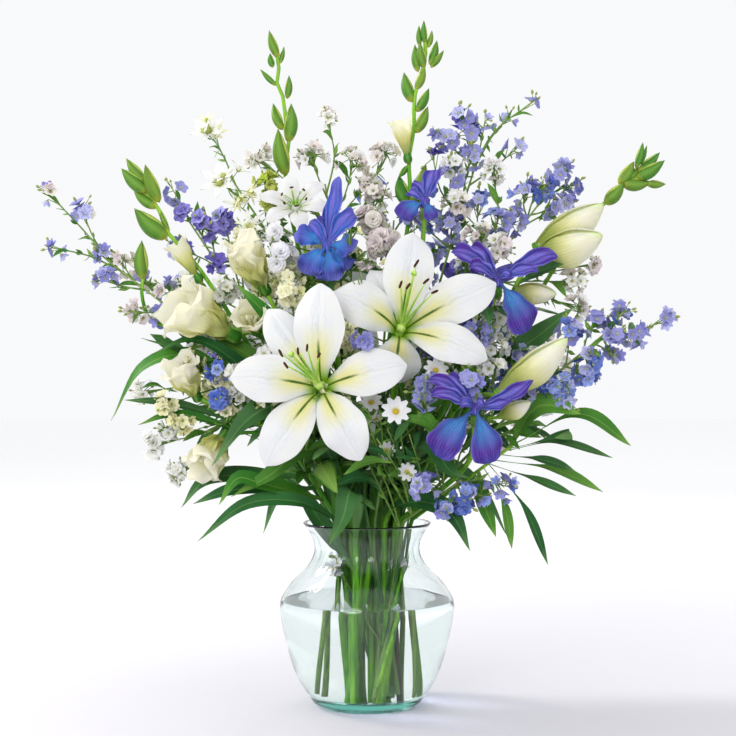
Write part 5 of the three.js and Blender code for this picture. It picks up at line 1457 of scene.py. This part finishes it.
def iris_bloom(iris):
    broad_fall = 15
    form = Form()
    centre = iris.centre
    facing = unit(vec(0, -iris.turn, 0.35))
    draw = random.Random(iris.name)

    def petal(entry, look, outline, cup, tint, ruffle):
        across, rise, back, half_width, lift = entry
        out = vec(across, back, rise)
        places = [(0.02, 0), (0.3, lift * 0.6), (0.6, lift), (0.85, lift * 0.7), (1, -1)]
        spine = petal_spine(centre, out, facing + UP * 0.5, places)
        sheet(form, look, spine, square(out, facing), half_width, outline, rows=28, columns=14,
              cup=cup, ruffle=ruffle, waves=2.6, phase=draw.uniform(0, 6), groove=0.8, thickness=1.0,
              tint=tint, uneven=0.06, twist=draw.uniform(-0.35, 0.35))

    for fall in iris.falls:
        petal(fall, FALL, FALL_PETAL, -0.14, iris.tint, 0.13 + 0.2 * iris.tint)
        if fall[3] > broad_fall:
            arm = (fall[0] * 0.4, fall[1] * 0.1 + 6, fall[2] * 0.6, 5, 6)
            petal(arm, STANDARD, PETAL, 0.2, iris.tint + 0.3, 0.05)
    for standard in iris.standards:
        petal(standard, STANDARD, PETAL, 0.34, iris.tint + draw.uniform(-0.1, 0.2), 0.24)
    low = centre - UP * 7 - facing * 2
    ovary = [centre - UP * 18 - facing * 3, low + UP * 2]
    round_form(form, FRESH_LEAF, ovary, 4.2, POD, sides=14, rings=8, tint=0.2)
    round_form(form, STANDARD, [low, centre + UP * 5], 5.0, POD, sides=14, rings=8, tint=iris.tint)
    slot = "iris_blue" if iris.name.endswith("blue") else "iris_purple"
    form.piece(iris.name + "_bloom", slot, iris.name + "_petals")


# ---- Buds and spikes ----

def bud_tepals(form, root, line, sag, radius):
    """Three closed petals that wrap a bud, each with its free edge."""
    along = unit(line)
    places = [(0.0, 0.0, 0.16), (0.14, 0.4, 0.52), (0.32, 0.8, 0.86), (0.5, 1.0, 0.97), (0.7, 0.8, 0.82),
              (0.88, 0.4, 0.46), (0.985, 0.05, 0.1)]
    for k in range(3):
        out = outward(along, TO_VIEWER, -(2 * math.pi * k / 3 + 0.7)) * radius
        spine = [root + line * share + sag * bend + out * reach for share, bend, reach in places]
        sheet(form, CREAM, spine, square(out, along), radius * 0.86, TEPAL, rows=30, columns=12,
              cup=0.46, ruffle=0.025, phase=k * 2.1, groove=0.5, thickness=0.7, tint=0.85, uneven=0.03,
              twist=0.12)


def lily_buds():
    for name, buds in LILY_BUDS:
        form = Form()
        for root, tip, radius in buds:
            line = tip - root
            sag = square(np.cross(line, UP), line) * np.linalg.norm(line) * -0.04
            round_form(form, BUD, [root, root + line * 0.5 + sag, tip], radius * 0.93, LILY_BUD, sides=36,
                       rings=26, seams=3, seam=0.1)
            bud_tepals(form, root, line, sag, radius)
            round_form(form, GREEN_STEM, [root - line * 0.03, root + line * 0.06], radius * 0.3, POD,
                       sides=12, rings=5)
        form.piece(name + "_skin", "bud_skin", name)


def spike_bud(form, root, tip, half_width, lean, tint):
    """A pointed bud in its sheath, with the paler bud showing along one margin."""
    line = tip - root
    aside = square(line, TO_VIEWER) * lean
    middle = root + line * 0.5 - aside * half_width * 0.35
    round_form(form, SHEATH, [root - line * 0.05, middle, tip], half_width * 1.28, POINTED, sides=12,
               rings=12, seams=2, seam=0.12, tint=tint, flat=0.8)
    shift = aside * half_width * 0.42
    round_form(form, MARGIN, [root, middle + shift * 1.2, tip - line * 0.1 + shift * 0.5], half_width * 0.78,
               POINTED, sides=10, rings=10, seams=2, seam=0.1, tint=tint)


def opening_bud(form, root, tip, half_width):
    """A pale bud whose petals have begun to part."""
    line = tip - root
    along = unit(line)
    petals = 5
    for k in range(petals):
        out = outward(along, TO_VIEWER, -(2 * math.pi * k / petals + 0.4)) * half_width
        spine = [root + out * 0.06, root + line * 0.45 + out * 0.5, root + line * 0.85 + out * 0.8,
                 root + line * 1.02 + out * 1.15]
        sheet(form, CREAM, spine, square(out, along), half_width * 0.62, ROUND_PETAL, rows=14,
              columns=6, cup=0.3, ruffle=0.12, phase=k * 1.9, thickness=0.7, tint=0.1)
    heel = [root - line * 0.12, root + line * 0.28]
    round_form(form, SHEATH, heel, half_width * 0.4, POINTED, sides=10, rings=7)


def spike(entry):
    name = entry.name
    draw = random.Random(name)
    form = stem_form(name, draw)
    depth = entry.depth
    for k, (x, z, tip_x, tip_z, half_width) in enumerate(entry.buds):
        forward = (k % 3 - 1) * 0.22 * math.hypot(tip_x - x, tip_z - z)
        root = front(x, z, depth)
        tip = front(tip_x, tip_z, depth + forward)
        lean = 1 if tip_x > x else -1
        spike_bud(form, root, tip, half_width, -lean, draw.uniform(0, 0.25))
    if entry.opening:
        x, z, tip_x, tip_z, half_width = entry.opening
        opening_bud(form, front(x, z, depth - 2), front(tip_x, tip_z, depth - 8), half_width)
    stalks = [(curve([front(x, z, depth) for x, z in line], 10), 2.0, 1.7, 0.0) for line in entry.stalks]
    if stalks:
        grow_stems(form, GREEN_STEM, stalks, 8)
    form.piece(name + "_buds", "spike_bud", name)


# ---- Sprays ----

def leafy_twig(form, spray, entry, draw, parts, leaves=1):
    """One twig of a spray, with its small leaves and a longer one or two."""
    stalks, _, _, bracts = parts
    share, x, z, depth = entry[:4]
    start, _ = point_on(STEM[spray.name]["path"], share)
    end = front(x, z, depth)
    run = end - start
    bow = square(run, vec(0, 1, 0.2)) * np.linalg.norm(run) * draw.uniform(-0.1, 0.1)
    twig = curve([start, (start + end) / 2 + bow, end], 9)
    stalks.append((twig, 1.1, 0.6, draw.uniform(0, 0.4)))
    for _ in range(leaves):
        root, ahead = point_on(twig, draw.uniform(0.3, 0.85))
        out = unit(ahead + vec(draw.gauss(0, 0.6), draw.gauss(0, 0.6), draw.gauss(0, 0.5)))
        length = draw.uniform(26, 52) if leaves > 1 else draw.uniform(13, 30)
        tip = root + out * length - UP * length * draw.uniform(0, 0.25)
        if clear_place(tip) and clear_place((root + tip) / 2):
            look = FRESH_LEAF if leaves == 1 or draw.random() < 0.35 else LEAF
            spine = [root, root + out * length * 0.5 + UP * 2, tip]
            side = square(out, vec(draw.gauss(0, 0.5), -1, 0.6))
            loose_leaf(form, look, spine, side, length * draw.uniform(0.09, 0.15), draw, 0.7, 0.5)
    for _ in range(5):
        foot, ahead = point_on(twig, draw.uniform(0.3, 0.95))
        out = unit(scatter(draw) + ahead)
        bracts.append((foot, out, draw.uniform(7, 13), draw.random() * 0.6))
    return twig, end, unit(run)


def stalk(start, end, count, thick, thin, tint, bend=0.0, short=0.0):
    """A thin stalk to a floret, bent at its middle and ending a little short of it."""
    return curve([start, (start + end) / 2 + bend, end - short], count), thick, thin, tint


def raceme(form, spray, entry, draw, parts):
    """Soft open florets round the last part of a twig, with green and tinted buds at its tip."""
    stalks, heads, buds, _ = parts
    twig, end, ahead = leafy_twig(form, spray, entry, draw, parts)
    radius, fullness = entry[4:6]
    for _ in range(2 + 3 * fullness):
        toward = unit(scatter(draw, forward=0.2) + ahead * 0.6)
        foot, _ = point_on(twig, draw.uniform(0.7, 0.98))
        centre = end + toward * radius * draw.uniform(0.4, 1.0) - ahead * radius * 0.35
        facing = unit(toward + TO_VIEWER * 0.15 + UP * 0.1)
        if hides_bloom(centre, FLORET_MARGIN):
            continue
        stalks.append(stalk(foot, centre, 4, 0.55, 0.4, 0.1, -facing, facing * 2))
        look = entry[6] if len(entry) > 6 else int(draw.random() < 0.4)
        shape = BELL if draw.random() < 0.35 else FIVE_PETALS
        size = draw.uniform(6.0, 9.0) if shape is FIVE_PETALS else draw.uniform(5.0, 7.0)
        tint = 0.62 * round(draw.random()) + 0.38 * draw.random()
        heads[look, shape.name].append((centre, facing, size, tint))
    for _ in range(3):
        toward = unit(ahead + scatter(draw, 0.6))
        centre = end + toward * radius * draw.uniform(0.5, 1.1)
        stalks.append(stalk(end, centre, 3, 0.5, 0.4, 0.1))
        buds.append((centre, toward, draw.uniform(2.2, 3.4), draw.random() * 0.5))


def filler(form, spray, entry, draw, parts, kind):
    """A frilly head of many small flowers and olive buds on forking stalks."""
    stalks, heads, buds, _ = parts
    twig, end, ahead = leafy_twig(form, spray, entry, draw, parts)
    radius, fullness = entry[4:6]
    forks = [end + unit(scatter(draw) + ahead) * radius * 0.4 for _ in range(4)]
    foot, _ = point_on(twig, 0.8)
    for fork in forks:
        stalks.append(stalk(foot, fork, 4, 0.7, 0.5, 0.3, ahead))
    for k in range(4 + (6 if kind == "ruff" else 4) * fullness):
        fork = forks[k % 4]
        toward = unit(scatter(draw, forward=0.2) + ahead * 0.4)
        centre = end + toward * radius * draw.uniform(0.35, 1.0)
        look = entry[6] if len(entry) > 6 else int(draw.random() < 0.45)
        facing = unit(toward + TO_VIEWER * 0.1)
        if hides_bloom(centre, FLORET_MARGIN):
            continue
        size = draw.uniform(8.1, 10.6) if kind == "ruff" and k % 3 else draw.uniform(5.0, 7.6)
        shape = "ruff" if size > 8 else "frilled"
        heads[look, shape].append((centre, facing, size, draw.random()))
        stalks.append(stalk(fork, centre, 3, 0.5, 0.4, 0.3, short=facing * 1.5))
    for k in range(4 + 2 * fullness):
        toward = unit(scatter(draw, forward=0.3) + ahead * 0.4)
        centre = end + toward * radius * draw.uniform(0.7, 1.15)
        if hides_bloom(centre, BUD_MARGIN):
            continue
        stalks.append(stalk(forks[k % 4], centre, 3, 0.45, 0.35, 0.5))
        buds.append((centre, toward, draw.uniform(1.4, 2.6), draw.random()))


def single_head(form, spray, entry, draw, parts, shape, count):
    """One open flower at a twig's end, with a few smaller ones below it."""
    stalks, heads, _, _ = parts
    twig, end, ahead = leafy_twig(form, spray, entry, draw, parts)
    radius = entry[4]
    facing = ahead * 0.3 + TO_VIEWER + UP * 0.3
    heads[0, shape].append((end, facing, radius * 0.95, draw.random()))
    for k in range(count):
        foot, _ = point_on(twig, 0.55 + 0.1 * k)
        out = unit(scatter(draw, forward=0.5))
        centre = foot + out * radius
        stalks.append(stalk(foot, centre, 4, 0.5, 0.4, 0.1))
        size = radius * draw.uniform(0.45, 0.7)
        heads[k % 2, shape].append((centre, out, size, draw.random()))


def fill_places():
    """Places all round the bouquet's dome for the small flowers between its blooms."""
    middle = vec(0, 4, 262)
    dome = vec(204, 112, 268)
    total = 175
    places = []
    draw = random.Random(29)
    for k in range(total):
        rise = 0.06 + 0.92 * (k + 0.5) / total
        flat = math.sqrt(1 - rise ** 2)
        toward = vec(math.cos(FILL_TURN * k) * flat, math.sin(FILL_TURN * k) * flat, rise)
        reach = 1 / np.linalg.norm(toward / dome)
        place = middle + toward * reach * draw.uniform(0.74, 0.97)
        if clear_place(place):
            places.append(place)
    return places


def best_carrier(place):
    """The spray whose stem passes nearest below a place, and the share at which a twig leaves it."""
    best = None
    for spray in SPRAYS:
        if spray.kind in ("daisy", "airy"):
            continue
        for share in (0.55, 0.64, 0.73, 0.82, 0.9):
            root, ahead = point_on(STEM[spray.name]["path"], share)
            run = place - root
            turns_back = unit(run) @ ahead < 0.35
            cost = np.linalg.norm(run) + (60 if turns_back else 0)
            if best is None or cost < best[0]:
                best = (cost, spray.name, share)
    return best[1:]


def share_fill():
    """Twigs for those places by spray: all pale at the left, and with leaves alone low down."""
    left_side = 50
    leaf_height = 305
    radius, fullness = 15, 3
    given = {spray.name: [] for spray in SPRAYS}
    for place in fill_places():
        name, share = best_carrier(place)
        scale = 1 + place[1] / EYE_DISTANCE
        seen = (place[0] / scale, EYE_HEIGHT + (place[2] - EYE_HEIGHT) / scale)
        pale = place[0] < left_side or len(given[name]) % 2 == 0
        kind = "filler" if pale else "raceme"
        if place[2] < leaf_height:
            kind = "leafy"
        given[name].append((share, *seen, place[1], radius, fullness, 2 if pale else 0, kind))
    return given


def make_sprays():
    shapes = {shape.name: shape for shape in TEMPLATES}
    fill = share_fill()
    for spray in SPRAYS:
        name = spray.name
        draw = random.Random(name)
        form = stem_form(name, draw)
        stalks, heads, buds, bracts = parts = ([], defaultdict(list), [], [])
        for entry in [*spray.twigs, *fill[name]]:
            kind = entry[7] if len(entry) > 7 else spray.kind
            if kind == "raceme":
                raceme(form, spray, entry, draw, parts)
            elif kind in ("filler", "ruff"):
                filler(form, spray, entry, draw, parts, kind)
            elif kind == "leafy":
                leafy_twig(form, spray, entry, draw, parts, 3)
            elif kind == "daisy":
                single_head(form, spray, entry, draw, parts, "daisy_head", 1)
            else:
                single_head(form, spray, entry, draw, parts, "narrow_petals", 4)
        grow_stems(form, TWIG, stalks, 5)
        for seed, ((look, shape), places) in enumerate(sorted(heads.items())):
            grow_florets(form, spray.looks[look], shapes[shape], places, seed + 3)
        grow_florets(form, SEED, CLOSED, buds, 5)
        grow_florets(form, FRESH_LEAF, BRACT, bracts, 6)
        white = spray.kind != "raceme"
        form.piece(name + "_sprig", "floret_white" if white else "floret_lilac", name)


# ---- Vase and water ----

OUTER = [(2.0, 51.0), (5, 55.0), (9, 57.2), (18, 63.6), (30, 70.5), (44, 75.8), (58, 79.6), (78, 84.4),
         (94, 86.9), (101, 87.2), (105.5, 86.2), (111, 83.5), (122, 76), (132, 66.5), (140, 59.5),
         (149, 54.6), (156, 53), (163, 53.6), (172, 57.6), (178.5, 62), (181.5, 64)]


def soft_line(places, count):
    """Even places along a soft line through (height, radius) places."""
    points = curve([vec(radius, 0, height) for height, radius in places], count)
    return [(point[2], point[0]) for point in points]


def make_vase():
    form = Form()
    outer = soft_line(OUTER, 90)
    inside = [(height, radius - GLASS_WALL) for height, radius in OUTER if height > GLASS_FLOOR + 10]
    hollow = [(GLASS_FLOOR + 0.3, 40), (GLASS_FLOOR + 1.6, 50), (GLASS_FLOOR + 5, 56.6)]
    inner = soft_line([*hollow, *inside], 90)[::-1]
    lip = [(VASE_HEIGHT + 0.8, 63.4), (VASE_HEIGHT + 0.6, 61.8)]
    ring = [(0, 0), (1.6, 30), (1.8, 40), (0.2, 44.5), (0, 47.5), (0.5, 49.6)]
    turned(form, GLASS, [*ring, *outer, *lip, *inner, (GLASS_FLOOR, 20), (GLASS_FLOOR, 0)], flutes=16,
           depth=1.7)
    form.piece("vase_body", "vase_glass", "vase")


def make_water():
    form = Form()
    skin = 0.25
    inside = [(height, radius - GLASS_WALL + skin) for height, radius in OUTER
              if GLASS_FLOOR + 10 < height < WATER_HEIGHT - 2]
    hollow = [(GLASS_FLOOR + 0.1, 40), (GLASS_FLOOR + 1.4, 50.2), (GLASS_FLOOR + 4.9, 56.8)]
    meniscus = [(WATER_HEIGHT + 0.9, 83.6), (WATER_HEIGHT + 0.1, 82.2), (WATER_HEIGHT - 0.3, 79)]
    wall = soft_line([*hollow, *inside, meniscus[0]], 60)
    turned(form, WATER, [(GLASS_FLOOR - 0.1, 0), (GLASS_FLOOR - 0.1, 20), *wall, *meniscus[1:],
                         (WATER_HEIGHT - 0.4, 0)])
    form.piece("water_body", "water", "water")


# ---- Stage, light and camera ----

def make_stage():
    look = Look("studio_floor", roughness=0.6, specular=0.2)
    source = look.node("ShaderNodeTexCoord").outputs["Object"]
    away = look.node("ShaderNodeVectorMath", {0: source}, operation="LENGTH").outputs["Value"]
    # Painted shadow: the floor is a darker lavender near the vase and pales outwards until it matches the
    # backdrop.
    grain = look.noise(40.0)
    painted_shade_near = look.mix(grain, (0.62, 0.608, 0.655), (0.635, 0.623, 0.67))
    far = look.ramp(look.scale(away, 0.25), [(0.06, 0.0), (0.3, 0.4), (0.6, 0.8), (0.95, 1.0)])
    look.set("Base Color", look.mix(far, painted_shade_near, (0.988, 0.988, 0.992)))
    reach = 9000
    sides = 96
    form = Form()
    angle = np.linspace(0, 2 * np.pi, sides, endpoint=False)
    rim = np.stack([reach * np.cos(angle), reach * np.sin(angle), np.zeros(sides)], -1)
    form.add(rim, np.arange(sides), np.array([sides]), look.material, np.zeros((sides, 3)))
    floor = linked("studio_floor", form.mesh("studio_floor"))


LIGHT_AIM = Vector((0, 0, 0.33))
# Each lamp is (name, place, size, energy, colour), with its place and size in metres.
LAMPS = [
    ("key", (-1.7, 0.7, 1.8), 0.6, 38, (1.0, 0.985, 0.96)),
    ("front", (-0.8, -2.1, 1.2), 1.2, 19, (1.0, 0.99, 0.97)),
    ("fill", (1.7, -1.3, 1.0), 1.3, 2, (0.95, 0.97, 1.0)),
    ("back", (0.5, 1.6, 1.7), 1.0, 6, (1.0, 1.0, 1.0)),
]


def lamp(name, place, size, energy, colour):
    data = bpy.data.lights.new(name, "AREA")
    data.shape = "DISK"
    data.size = size
    data.energy = energy
    data.color = colour
    made = linked(name, data)
    made.location = place
    toward = LIGHT_AIM - Vector(place)
    made.rotation_euler = toward.to_track_quat("-Z", "Y").to_euler()


def make_light():
    world = bpy.data.worlds.new("studio_air")
    world.use_nodes = True
    air = world.node_tree.nodes["Background"]
    air.inputs["Color"].default_value = (0.985, 0.99, 1.0, 1.0)
    air.inputs["Strength"].default_value = 0.96
    bpy.context.scene.world = world
    for settings in LAMPS:
        lamp(*settings)
    bpy.context.scene.view_settings.view_transform = "Standard"


def make_camera():
    """Level with the bouquet's middle, one millimetre at the vase's axis to a pixel."""
    frame_pixels = 736
    data = bpy.data.cameras.new("camera")
    data.sensor_width = 36
    data.sensor_fit = "HORIZONTAL"
    data.lens = data.sensor_width * EYE_DISTANCE / frame_pixels
    data.clip_end = 100
    made = linked("camera", data)
    made.location = (0.001, -EYE_DISTANCE * MM, EYE_HEIGHT * MM)
    made.rotation_euler = (math.pi / 2, 0, 0)
    bpy.context.scene.camera = made


make_camera()
make_light()
make_stage()
make_vase()
make_water()
make_stems()
for lily in LILIES:
    lily_petals(lily)
    lily_stamens(lily)
star_lily()
for bloom in CREAM_BLOOMS:
    cream_bloom(bloom)
for iris in IRISES:
    iris_bloom(iris)
lily_buds()
for entry in SPIKES:
    spike(entry)
make_sprays()
for shape in TEMPLATES:
    bpy.data.objects.remove(shape)
